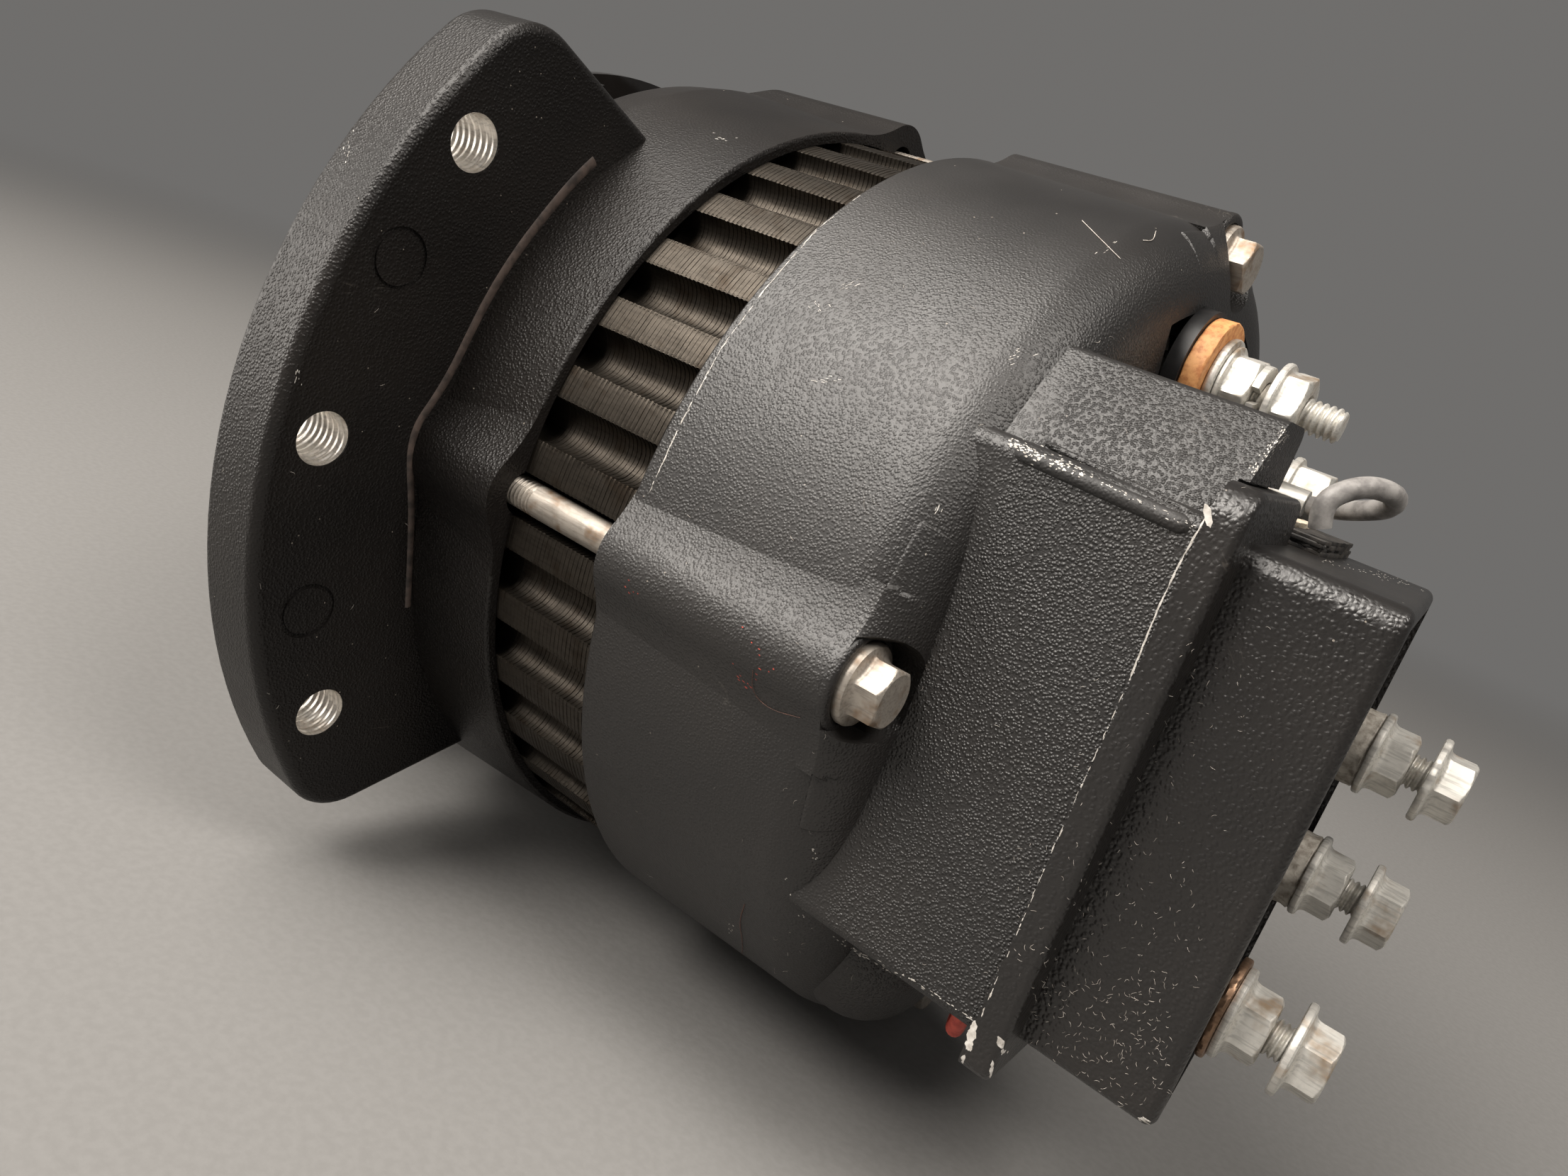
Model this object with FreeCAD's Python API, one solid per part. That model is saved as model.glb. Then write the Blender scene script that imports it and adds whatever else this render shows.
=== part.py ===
import FreeCAD, Part
import math
import os

# Alternator, millimetres. The origin is on the rotor axis, in the plane of the mounting flange's rear
# face. +X runs along the rotor axis to the regulator end, -X to the pulley, -Y is the side that carries
# the flange and the regulator, and +Z is along the regulator's long side.

# Mounting flange
flange_thickness = 12.2
flange_radius = 95.0
flange_side_height = 53.2
flange_side_y = -44.0
flange_side_slope = 0.345
flange_corner_radius = 10.0
flange_edge_radius = 1.6
flange_root_radius = 1.8
flange_hole_diameter = 7.9
flange_hole_circle = 87.2
flange_hole_angle = 29.6
ejector_mark_diameter = 8.6
ejector_mark_circle = 86.6
ejector_mark_angle = 17.3
ejector_mark_depth = 0.35
ejector_mark_width = 0.7

# Drive end housing
drum_behind_flange = 16.9
drum_rim_step = 1.7
drum_waist_step = 3.0
drum_front_x = -27.0
drum_shoulder_radius = 9.0
drum_nose_radius = 55.0
housing_wall = 3.6
front_wall = 4.5
front_vent_count = 8
front_vent_inner = 35.0
front_vent_outer = 52.0
front_vent_angle = 27.0

# Stator
stator_radius = 66.5
stator_radial_depth = 19.5
stator_exposed_length = 21.6
stator_register = 3.0
groove_count = 36
groove_angle = 5.8
groove_depth = 3.9
slot_width = 3.4
slot_depth = 10.0
winding_overhang = 13.0
winding_wall = 12.0
winding_bore_gap = 1.5
winding_clearance = 0.5
rotor_air_gap = 0.45

# Rear housing
rear_rim_step = 2.7
rear_drum_step = 2.0
rear_length = 43.0
rear_shoulder_radius = 9.5
rear_wall = 4.5
rear_vent_inner = 32.0
rear_vent_outer = 58.0
rear_vent_angle = 10.0
rear_vent_centres = (69.5, 105.0, 125.0, 145.0, 165.0, 195.0, 215.0, 235.0, 255.0)

# Boss ridges over the through bolts
boss_radius = 7.0
boss_root_radius = 22.0
boss_rear_length = 37.8
boss_shoulder_radius = 1.2
boss_pocket_length = 5.3
boss_pocket_radius = 6.7
boss_floor_thickness = 1.8
boss_floor_margin = 1.2
bolt_circle_inset = 1.3
bolt_diameter = 4.8
bolt_flange_diameter = 11.8
bolt_head_height = 5.3
bolt_turns = (46.0, 63.0, 20.0, 37.0)
bolt_angles = (0.0, 90.0, 180.0, 270.0)
hex_across_flats = 8.0
nut_flange_thickness = 1.2

# Regulator pedestal
pedestal_side_y = -60.0
pedestal_far_y = 2.0
pedestal_half_height = 33.0
pedestal_length = 22.8
pedestal_wall = 3.5
pedestal_corner_radius = 2.0
ring_cover_radius = 18.0
block_top = 45.0
block_radius = 66.0
block_far_y = -38.0
block_edge_radius = 2.0
block_overhang = 1.2
block_overhang_clearance = 0.3

# Lower lobe on the rear wall
lobe_radius = 15.6
lobe_circle = 52.0
lobe_angle = -55.0
lobe_height = 7.5
lobe_edge_radius = 10.5

# Regulator
lip_thickness = 4.1
lip_side_y = -60.7
lip_half_height = 37.2
lip_corner_radius = 4.5
lip_low_corner_radius = 2.0
ear_width = 25.0
ear_slope = 2.5
lip_lobe_radius = 19.0
lip_edge_radius = 1.0
case_side_y = -55.0
case_far_y = -4.0
case_top = 31.6
case_bottom = -33.0
case_end_taper = 2.0
case_height = 17.3
case_wall = 2.2
case_corner_radius = 3.0
case_low_corner_radius = 1.5
case_edge_radius = 1.4
potting_recess = 2.6
potting_depth = 6.0
stud_places = ((-11.8, 9.2), (-13.0, -9.7), (-41.4, -20.9))
stud_diameter = 4.8
stud_length = 13.9
tall_spacer_height = 2.6
tall_spacer_diameter = 10.9
thin_washer_thickness = 1.1
thin_washer_diameter = 13.2
low_boss_height = 2.1
low_boss_diameter = 9.0
small_nut_height = 5.0
small_nut_flange = 11.8
stud_thread_gap = 2.2
regulator_screw_diameter = 4.0
regulator_screw_z = 27.0
regulator_screw_y = -0.2

# Output terminal
output_y = -12.0
output_z = 47.5
output_stud_diameter = 4.83
output_stud_end = 66.3
output_collar_diameter = 19.0
output_collar_height = 2.3
fibre_washer_diameter = 17.6
fibre_washer_thickness = 2.9
zinc_washer_diameter = 13.5
zinc_washer_thickness = 1.2
big_nut_flange = 11.9
big_nut_flats = 9.5
big_nut_height = 4.6
lock_washer_thickness = 1.3
lock_washer_diameter = 9.6
terminal_thread_gap = 1.1

# Field terminal
field_y = 8.5
field_z = 36.3
field_insulator_diameter = 12.0
field_insulator_height = 15.0
field_nut_height = 6.5
field_stud_end = 66.9
lug_thickness = 1.0
lug_radius = 5.2
lug_reach = 16.0
lug_barrel_radius = 1.9
lug_barrel_length = 7.5

# Rubber and cork pads under the field lead
pad_length = 7.4
pad_start = 0.3
pad_near_y = -30.0
pad_far_y = -8.0
pad_rubber_height = 2.0
pad_cork_height = 0.7
lead_diameter = 2.8
red_lead_diameter = 2.4

# Rotor
shaft_radius = 8.5
shaft_core_radius = 11.0
shaft_rear_radius = 7.5
shaft_thread_radius = 7.9
shaft_thread_end = -76.0
shaft_rear_end = 101.0
claw_count = 6
claw_plate_thickness = 11.0
claw_finger_thickness_root = 9.0
claw_finger_thickness_tip = 4.0
claw_root_half_angle = 17.0
claw_tip_half_angle = 6.0
pole_core_radius = 26.0
rotor_length = 46.0
coil_wall = 2.0
slip_ring_radius = 13.0
slip_ring_width = 6.0
slip_ring_gap = 2.0
ring_sleeve_radius = 10.5
ring_sleeve_start = 82.0

# Bearings
front_bearing_radius = 23.5
front_bearing_width = 14.0
rear_bearing_radius = 17.5
rear_bearing_width = 11.0
bearing_race = 3.6
ball_count = 8
bearing_boss_wall = 5.0
running_clearance = 0.05
retainer_thickness = 2.0
retainer_screw_count = 3
retainer_screw_diameter = 4.0

# Fan and pulley
fan_radius = 66.5
fan_plate_thickness = 2.0
fan_blade_height = 9.0
fan_blade_count = 10
fan_blade_thickness = 1.8
fan_blade_inner = 38.0
fan_gap = 3.4
pulley_radius = 35.0
pulley_width = 20.0
pulley_groove_depth = 10.5
pulley_groove_width = 12.5
pulley_groove_angle = 36.0
pulley_hub_radius = 16.0
shaft_washer_thickness = 2.6
shaft_washer_radius = 13.0
shaft_nut_flats = 24.0
shaft_nut_height = 11.0
key_width = 4.0
key_radius = 6.5

# Brush gear
brush_width = 5.0
brush_height = 6.5
brush_length = 16.0
brush_clearance = 0.3
brush_travel = 3.0
holder_wall = 2.5
holder_length_y = 27.0
spring_radius = 2.0
spring_wire = 0.5

# Rectifier
sink_thickness = 3.0
sink_inner = 30.0
sink_outer = 58.0
sink_middle_angle = 75.0
sink_span_angle = 105.0
sink_gap = 5.0
sink_clearance = 3.0
diode_radius = 6.3
diode_height = 5.0

# Clearance of a fixed piece in its seat
seat_clearance = 0.05
bolt_hole_clearance = 0.3

# Stations along the axis
drum_rear_x = drum_behind_flange
rear_rim_x = drum_rear_x + stator_exposed_length
rear_face_x = rear_rim_x + rear_length
pedestal_end_x = rear_face_x + pedestal_length
lip_rear_x = pedestal_end_x + lip_thickness
case_end_x = lip_rear_x + case_height
potting_x = case_end_x - potting_recess
boss_end_x = rear_rim_x + boss_rear_length
stator_bore_radius = stator_radius - stator_radial_depth
drum_rim_radius = stator_radius + drum_rim_step
drum_waist_radius = stator_radius + drum_waist_step
rear_rim_radius = stator_radius + rear_rim_step
rear_drum_radius = stator_radius + rear_drum_step
bolt_circle_radius = stator_radius - bolt_circle_inset
boss_crest_radius = bolt_circle_radius + boss_radius
stator_front_x = drum_rear_x - stator_register
stator_rear_x = rear_rim_x + stator_register
rotor_centre_x = 0.5 * (stator_front_x + stator_rear_x)
spacer_front_x = drum_front_x - fan_gap
fan_blade_x = spacer_front_x
fan_plate_x = fan_blade_x - fan_blade_height
pulley_rear_x = fan_plate_x - fan_plate_thickness
pulley_front_x = pulley_rear_x - pulley_width
shaft_washer_x = pulley_front_x - shaft_washer_thickness
shaft_nut_x = shaft_washer_x - shaft_nut_height
column_inner = stator_bore_radius + winding_bore_gap + winding_wall + winding_clearance
X_AXIS = FreeCAD.Vector(1, 0, 0)
Y_AXIS = FreeCAD.Vector(0, 1, 0)
ORIGIN = FreeCAD.Vector(0, 0, 0)


def point(x, y, z):
    return FreeCAD.Vector(x, y, z)


def polar(radius, angle):
    """(y, z) of a point at this radius, with the angle counted from -Y towards +Z."""
    turn = math.radians(angle)
    return -radius * math.cos(turn), radius * math.sin(turn)


def cylinder(x0, x1, radius, y=0.0, z=0.0):
    return Part.makeCylinder(radius, x1 - x0, point(x0, y, z), X_AXIS)


def ring(x0, x1, outer, inner, y=0.0, z=0.0):
    return cylinder(x0, x1, outer, y, z).cut(cylinder(x0 - 1, x1 + 1, inner, y, z))


def box(x0, x1, y0, y1, z0, z1):
    return Part.makeBox(x1 - x0, y1 - y0, z1 - z0, point(x0, y0, z0))


def closed_face(corners, place):
    """A flat face from (u, v, radius) corners, with each corner rounded by its radius."""
    count = len(corners)
    starts = []
    ends = []
    middles = []
    for i in range(count):
        here = FreeCAD.Vector(corners[i][0], corners[i][1], 0)
        back = FreeCAD.Vector(corners[i - 1][0], corners[i - 1][1], 0) - here
        ahead = FreeCAD.Vector(corners[(i + 1) % count][0], corners[(i + 1) % count][1], 0) - here
        radius = corners[i][2]
        back.normalize()
        ahead.normalize()
        half = 0.5 * back.getAngle(ahead)
        if radius <= 0:
            starts.append(here)
            ends.append(here)
            middles.append(None)
            continue
        reach = radius / math.tan(half)
        inward = back + ahead
        inward.normalize()
        centre = here + inward * (radius / math.sin(half))
        starts.append(here + back * reach)
        ends.append(here + ahead * reach)
        middles.append(centre - inward * radius)
    edges = []
    for i in range(count):
        if middles[i] is not None:
            arc = Part.Arc(place(starts[i]), place(middles[i]), place(ends[i]))
            edges.append(arc.toShape())
        following = starts[(i + 1) % count]
        if (following - ends[i]).Length > 1e-6:
            edges.append(Part.LineSegment(place(ends[i]), place(following)).toShape())
    return Part.Face(Part.Wire(edges))


def turned(corners):
    """A solid of revolution about the rotor axis from (x, radius, corner radius) corners."""
    face = closed_face(corners, lambda p: point(p.x, 0, p.y))
    return face.revolve(ORIGIN, X_AXIS, 360)


def prism(corners, x0, x1):
    """A solid from (y, z, corner radius) corners between two stations on the axis."""
    face = closed_face(corners, lambda p: point(x0, p.x, p.y))
    return face.extrude(point(x1 - x0, 0, 0))


def rectangle(y0, y1, z0, z1, radius=0.0):
    return [(y0, z0, radius), (y1, z0, radius), (y1, z1, radius), (y0, z1, radius)]


def fused(shapes):
    whole = shapes[0].multiFuse(shapes[1:]) if len(shapes) > 1 else shapes[0]
    return whole.removeSplitter()


def cut_all(shape, tools):
    return shape.cut(Part.makeCompound(tools)) if tools else shape


def edges_where(shape, test):
    return [edge for edge in shape.Edges if test(edge)]


def hexagon(x0, x1, flats, y, z, turn=0.0):
    corner = flats / math.sqrt(3.0)
    points = []
    for i in range(6):
        angle = math.radians(60.0 * i + turn)
        points.append((y + corner * math.cos(angle), z + corner * math.sin(angle), 0.0))
    return prism(points, x0, x1)


def flange_nut(x0, y, z, flats, flange, height, bore, turn=0.0):
    """A hexagon nut with its flange at x0 and its free face towards +X. A bore of 0 leaves it whole."""
    rim = cylinder(x0, x0 + nut_flange_thickness, flange / 2, y, z)
    cone_height = 0.6 * nut_flange_thickness
    cone = Part.makeCone(flange / 2 - 0.4, flats / 2, cone_height, point(x0 + nut_flange_thickness, y, z), X_AXIS)
    body = hexagon(x0 + 0.5 * nut_flange_thickness, x0 + height, flats, y, z, turn)
    chamfer = Part.makeCone(flats / 2 + height, flats / 2 - 0.1, height * 1.6,
                            point(x0 + height * 1.05 - height * 1.6, y, z), X_AXIS)
    nut = fused([rim, cone, body.common(chamfer)])
    if bore == 0.0:
        return nut
    return nut.cut(cylinder(x0 - 1, x0 + height + 1, bore / 2, y, z))


def flange_bolt(x_seat, x_end, y, z, turn=0.0):
    """A through bolt: its flanged head stands on x_seat and its shank runs forward to x_end."""
    head = flange_nut(x_seat, y, z, hex_across_flats, bolt_flange_diameter, bolt_head_height, 0.0, turn)
    shank = cylinder(x_end, x_seat + 0.5, bolt_diameter / 2, y, z)
    return fused([head, shank])


def boss(x0, x1, drum_radius):
    """The ridge over one through bolt at angle 0, with hollow flanks that run out into the drum."""
    y = -bolt_circle_radius
    reach = drum_radius + boss_root_radius
    span = boss_radius + boss_root_radius
    turn = math.acos((reach ** 2 + y ** 2 - span ** 2) / (-2.0 * reach * y))

    def on_flank(radius_from_flank, share):
        """A point on the flank's arc, from the drum at share 0 to the crest's circle at share 1."""
        centre = (-reach * math.cos(turn), reach * math.sin(turn))
        to_drum = math.atan2(-centre[1], -centre[0])
        to_crest = math.atan2(-centre[1], y - centre[0])
        angle = to_drum + share * (to_crest - to_drum)
        return (centre[0] + radius_from_flank * math.cos(angle), centre[1] + radius_from_flank * math.sin(angle))

    root = on_flank(boss_root_radius, 0.0)
    middle = on_flank(boss_root_radius, 0.5)
    crest = on_flank(boss_root_radius, 1.0)
    inner = -bolt_circle_radius + boss_radius

    def place(p, side=1.0):
        return point(x0, p[0], side * p[1])

    edges = [
        Part.Arc(place(root), place(middle), place(crest)).toShape(),
        Part.Arc(place(crest), place((y - boss_radius, 0.0)), place(crest, -1.0)).toShape(),
        Part.Arc(place(crest, -1.0), place(middle, -1.0), place(root, -1.0)).toShape(),
        Part.LineSegment(place(root, -1.0), place((inner, -boss_radius))).toShape(),
        Part.LineSegment(place((inner, -boss_radius)), place((inner, boss_radius))).toShape(),
        Part.LineSegment(place((inner, boss_radius)), place(root)).toShape(),
    ]
    return Part.Face(Part.Wire(edges)).extrude(point(x1 - x0, 0, 0))


def bosses(x0, x1, drum_radius):
    ridge = boss(x0, x1, drum_radius)
    turned_ridges = []
    for angle in bolt_angles:
        copy = ridge.copy()
        copy.rotate(ORIGIN, X_AXIS, -angle)
        turned_ridges.append(copy)
    return turned_ridges


def sector_slot(x0, x1, inner, outer, centre, width):
    """A vent: part of a ring between two radii, with radial sides."""
    slot = ring(x0, x1, outer, inner)
    far = outer * 1.5
    a = polar(far, centre - width / 2)
    b = polar(far, centre + width / 2)
    wedge = prism([(0.0, 0.0, 0.0), (a[0], a[1], 0.0), (b[0], b[1], 0.0)], x0 - 1, x1 + 1)
    return slot.common(wedge)


def flange_outline_prism(x0, x1, grow=0.0):
    """The wedge between the flange's two straight sides."""
    near_y = -10.0
    far_y = -1.3 * flange_radius
    near_z = flange_side_height + flange_side_slope * (flange_side_y - near_y) + grow
    far_z = flange_side_height + flange_side_slope * (flange_side_y - far_y) + grow
    corners = [(near_y, near_z, 0), (far_y, far_z, 0), (far_y, -far_z, 0), (near_y, -near_z, 0)]
    return prism(corners, x0, x1)


def mounting_flange():
    plate = cylinder(-flange_thickness, 0.0, flange_radius).common(flange_outline_prism(-flange_thickness, 0.0))
    limit = flange_radius - 0.01

    def is_corner(edge):
        ends = edge.Vertexes
        if len(ends) != 2 or abs(ends[0].Point.x - ends[1].Point.x) < 1.0:
            return False
        return math.hypot(ends[0].Point.y, ends[0].Point.z) > limit

    plate = plate.makeFillet(flange_corner_radius, edges_where(plate, is_corner))
    keep = drum_waist_radius + 2.0

    def is_rim(edge):
        box_ = edge.BoundBox
        if box_.XLength > 0.01:
            return False
        middle = edge.valueAt(0.5 * (edge.FirstParameter + edge.LastParameter))
        return math.hypot(middle.y, middle.z) > keep

    plate = plate.makeFillet(flange_edge_radius, edges_where(plate, is_rim))
    return plate


def flange_roots():
    """The cast-in fillets between the flange's two faces and the drum."""
    r = flange_root_radius
    base = drum_rim_radius - 2.0
    pieces = []
    for x, side in ((0.0, 1.0), (-flange_thickness, -1.0)):
        top = drum_waist_radius + r
        a = point(x, 0, base)
        b = point(x, 0, top)
        c = point(x + side * r, 0, drum_waist_radius - 0.4)
        d = point(x + side * r, 0, base)
        centre = point(x + side * r, 0, top - 0.4)
        turn = math.radians(45.0)
        middle = point(centre.x - side * r * math.cos(turn), 0, centre.z - r * math.sin(turn))
        wire = Part.Wire([Part.LineSegment(a, b).toShape(), Part.Arc(b, middle, c).toShape(),
                          Part.LineSegment(c, d).toShape(), Part.LineSegment(d, a).toShape()])
        full = Part.Face(wire).revolve(ORIGIN, X_AXIS, 360)
        low = min(x, x + side * r)
        pieces.append(full.common(flange_outline_prism(low - 0.5, low + r + 0.5, -0.2)))
    return pieces


def drive_end_housing():
    shell = turned([
        (drum_rear_x, drum_rim_radius, 0.5),
        (-flange_thickness + 2.0, drum_waist_radius, 6.0),
        (drum_front_x + drum_shoulder_radius, drum_waist_radius - 1.0, 4.0),
        (drum_front_x, drum_nose_radius + 4.0, 6.0),
        (drum_front_x, 0.0, 0.0),
        (drum_rear_x, 0.0, 0.0),
    ])
    ridges = [ridge.common(turned([
        (drum_rear_x, boss_crest_radius, 0.0),
        (-flange_thickness, boss_crest_radius, 0.0),
        (drum_front_x + 1.0, drum_nose_radius + 5.0, 0.0),
        (drum_front_x + 1.0, 0.0, 0.0),
        (drum_rear_x, 0.0, 0.0),
    ])) for ridge in bosses(drum_front_x + 1.0, drum_rear_x, drum_rim_radius)]
    outside = fused([shell, mounting_flange()] + flange_roots() + ridges)
    cavity = turned([
        (drum_rear_x + 1.0, stator_radius + seat_clearance, 0.0),
        (stator_front_x, stator_radius + seat_clearance, 0.0),
        (stator_front_x, drum_rim_radius - housing_wall, 0.0),
        (drum_front_x + front_wall + 2.0, drum_rim_radius - housing_wall, 8.0),
        (drum_front_x + front_wall, drum_nose_radius, 4.0),
        (drum_front_x + front_wall, 0.0, 0.0),
        (drum_rear_x + 1.0, 0.0, 0.0),
    ])
    columns = fused(bosses(drum_front_x + 1.0, stator_front_x, drum_rim_radius)).common(
        turned([(drum_front_x + 1.0, drum_rim_radius, 0), (drum_front_x + 1.0, column_inner, 0),
                (stator_front_x, column_inner, 0), (stator_front_x, drum_rim_radius, 0)])).common(outside)
    hub = cylinder(drum_front_x, drum_front_x + front_bearing_width, front_bearing_radius + bearing_boss_wall)
    body = fused([outside.cut(cavity), columns, hub])
    tools = [cylinder(drum_front_x - 1.0, drum_front_x + front_bearing_width + 1.0, front_bearing_radius)]
    for i in range(front_vent_count):
        centre = 360.0 * (i + 0.5) / front_vent_count
        tools.append(sector_slot(drum_front_x - 1.0, drum_front_x + front_wall + 1.0, front_vent_inner,
                                 front_vent_outer, centre, front_vent_angle))
    for angle in (-flange_hole_angle, 0.0, flange_hole_angle):
        y, z = polar(flange_hole_circle, angle)
        tools.append(cylinder(-flange_thickness - 1.0, 1.0, flange_hole_diameter / 2, y, z))
    for angle in (-ejector_mark_angle, ejector_mark_angle):
        y, z = polar(ejector_mark_circle, angle)
        radius = ejector_mark_diameter / 2
        tools.append(ring(-ejector_mark_depth, 1.0, radius, radius - ejector_mark_width, y, z))
    for angle in bolt_angles:
        y, z = polar(bolt_circle_radius, angle)
        tools.append(cylinder(drum_front_x + 8.0, drum_rear_x + 1.0, bolt_diameter / 2, y, z))
        tools.append(cylinder(drum_rear_x - 6.0, drum_rear_x + 1.0, bolt_diameter / 2 + 1.0, y, z))
    for i in range(retainer_screw_count):
        y, z = retainer_screw_place(i)
        tools.append(cylinder(drum_front_x - 1.0, drum_front_x + front_bearing_width + 1.0,
                              retainer_screw_diameter / 2, y, z))
    return cut_all(body, tools)


def retainer_screw_place(i):
    return polar(front_bearing_radius + bearing_boss_wall / 2, 360.0 * i / retainer_screw_count + 30.0)


def stator_core():
    core = ring(stator_front_x, stator_rear_x, stator_radius, stator_bore_radius)
    tools = []
    half = math.radians(groove_angle / 2)
    rise = groove_depth - stator_radius * (1.0 - math.cos(half))
    round_ = ((stator_radius * math.sin(half)) ** 2 + rise ** 2) / (2.0 * rise)
    for i in range(groove_count):
        angle = 360.0 * i / groove_count
        y, z = polar(stator_radius - groove_depth + round_, angle)
        groove = cylinder(stator_front_x - 1.0, stator_rear_x + 1.0, round_, y, z)
        tools.append(groove)
        slot = box(stator_front_x - 1.0, stator_rear_x + 1.0, -stator_bore_radius - slot_depth,
                   -stator_bore_radius + 2.0, -slot_width / 2, slot_width / 2)
        slot.rotate(ORIGIN, X_AXIS, -(angle + 180.0 / groove_count))
        tools.append(slot)
    return core.cut(Part.makeCompound(tools)).removeSplitter()


def stator_winding():
    inner = stator_bore_radius + winding_bore_gap
    outer = inner + winding_wall
    round_ = winding_wall / 2 - 0.5
    front = turned([(stator_front_x, outer, 0), (stator_front_x, inner, 0),
                    (stator_front_x - winding_overhang, inner, round_),
                    (stator_front_x - winding_overhang, outer, round_)])
    rear = turned([(stator_rear_x, inner, 0), (stator_rear_x, outer, 0),
                   (stator_rear_x + winding_overhang, outer, round_),
                   (stator_rear_x + winding_overhang, inner, round_)])
    bars = []
    for i in range(groove_count):
        bar = box(stator_front_x - 0.5, stator_rear_x + 0.5, -stator_bore_radius - slot_depth + 0.4,
                  -stator_bore_radius - 2.0, -slot_width / 2 + 0.3, slot_width / 2 - 0.3)
        bar.rotate(ORIGIN, X_AXIS, -360.0 * (i + 0.5) / groove_count)
        bars.append(bar)
    return fused([front, rear] + bars)


def rear_vents():
    tools = []
    for centre in rear_vent_centres:
        tools.append(sector_slot(rear_face_x - rear_wall - 1.0, rear_face_x + 1.0, rear_vent_inner,
                                 rear_vent_outer, centre, rear_vent_angle))
    return tools


def pedestal_outside():
    half = pedestal_half_height
    start = rear_face_x - rear_wall
    case = prism(rectangle(pedestal_side_y, pedestal_far_y, -half, half, pedestal_corner_radius),
                 start - 4.0, pedestal_end_x)
    cover = cylinder(start, pedestal_end_x, ring_cover_radius)
    block = cylinder(start, pedestal_end_x, block_radius).common(
        box(start, pedestal_end_x, pedestal_side_y, block_far_y, half - 4.0, block_top))

    def is_block_edge(edge):
        middle = edge.valueAt(0.5 * (edge.FirstParameter + edge.LastParameter))
        ends = edge.Vertexes
        along = len(ends) == 2 and abs(ends[0].Point.x - ends[1].Point.x) > 1.0
        return along and middle.z > block_top - 0.5

    block = block.makeFillet(block_edge_radius, edges_where(block, is_block_edge))
    nose = block.copy()
    nose.translate(point(block_overhang, 0, 0))
    low = lip_half_height + block_overhang_clearance
    nose = nose.common(box(start, pedestal_end_x + block_overhang, pedestal_side_y, block_far_y, low, block_top))
    return fused([case, cover, block, nose])


def pedestal_cavity():
    half = pedestal_half_height - pedestal_wall
    room = prism(rectangle(pedestal_side_y + pedestal_wall, pedestal_far_y - pedestal_wall, -half, half, 1.0),
                 rear_face_x, pedestal_end_x + 1.0)
    well = cylinder(rear_face_x, pedestal_end_x + 1.0, ring_cover_radius - pedestal_wall + 0.8)
    return fused([room, well])


def rear_housing():
    shell = turned([
        (rear_rim_x, rear_rim_radius, 0.5),
        (rear_face_x, rear_drum_radius, rear_shoulder_radius),
        (rear_face_x, 0.0, 0.0),
        (rear_rim_x, 0.0, 0.0),
    ])
    limit = turned([
        (rear_rim_x, boss_crest_radius, 0.0),
        (boss_end_x, boss_crest_radius, boss_shoulder_radius),
        (boss_end_x, 0.0, 0.0),
        (rear_rim_x, 0.0, 0.0),
    ])
    ridges = [ridge.common(limit) for ridge in bosses(rear_rim_x, boss_end_x, rear_drum_radius)]
    y, z = polar(lobe_circle, lobe_angle)
    lobe = cylinder(rear_face_x - rear_wall, rear_face_x + lobe_height, lobe_radius, y, z)
    lobe = lobe.makeFillet(lobe_edge_radius, edges_where(lobe, lambda edge: edge.BoundBox.XMin > rear_face_x + lobe_height - 0.1))
    outside = fused([shell] + ridges + [pedestal_outside(), lobe])
    inner = rear_drum_radius - housing_wall
    cavity = turned([
        (rear_rim_x - 1.0, stator_radius + seat_clearance, 0.0),
        (stator_rear_x, stator_radius + seat_clearance, 0.0),
        (stator_rear_x, inner, 0.0),
        (rear_face_x - rear_wall, inner, rear_shoulder_radius - 3.0),
        (rear_face_x - rear_wall, 0.0, 0.0),
        (rear_rim_x - 1.0, 0.0, 0.0),
    ])
    body = outside.cut(cavity)
    columns = fused(bosses(stator_rear_x, boss_end_x, rear_drum_radius)).common(
        turned([(stator_rear_x, inner + 1.0, 0), (boss_end_x, inner + 1.0, 0),
                (boss_end_x, column_inner, 0), (stator_rear_x, column_inner, 0)]))
    floors = []
    for angle in bolt_angles:
        y, z = polar(bolt_circle_radius, angle)
        floor = cylinder(boss_end_x - boss_floor_thickness, boss_end_x + boss_floor_margin,
                         boss_pocket_radius + boss_floor_margin, y, z)
        floors.append(floor.common(outside))
    hub_x = rear_face_x - rear_bearing_width
    hub = cylinder(hub_x, rear_face_x - 1.0, rear_bearing_radius + bearing_boss_wall)
    body = fused([body, columns, hub] + floors)
    tools = [pedestal_cavity(), cylinder(hub_x - 1.0, rear_face_x + 1.0, rear_bearing_radius)]
    tools += rear_vents()
    for angle in bolt_angles:
        y, z = polar(bolt_circle_radius, angle)
        tools.append(cylinder(rear_rim_x - 1.0, boss_end_x + 1.0, bolt_diameter / 2 + bolt_hole_clearance, y, z))
        tools.append(cylinder(boss_end_x, boss_end_x + boss_pocket_length, boss_pocket_radius, y, z))
    tools.append(cylinder(rear_face_x - rear_wall - 1.0, rear_face_x + 1.0,
                          output_stud_diameter / 2 + 2.5, output_y, output_z))
    tools.append(cylinder(rear_face_x - rear_wall - 1.0, rear_face_x + 1.0,
                          output_stud_diameter / 2 + 1.6, field_y, field_z))
    for side in (-1.0, 1.0):
        tools.append(cylinder(pedestal_end_x - 9.0, pedestal_end_x + 1.0, regulator_screw_diameter / 2,
                              regulator_screw_y, side * regulator_screw_z))
    return cut_all(body, tools)


def through_bolts():
    bolts = []
    for i, angle in enumerate(bolt_angles):
        y, z = polar(bolt_circle_radius, angle)
        bolts.append(flange_bolt(boss_end_x, drum_front_x + 9.0, y, z, bolt_turns[i]))
    return Part.makeCompound(bolts)


def bearing_outer(x0, x1, outer):
    return ring(x0, x1, outer - seat_clearance / 5, outer - bearing_race)


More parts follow.
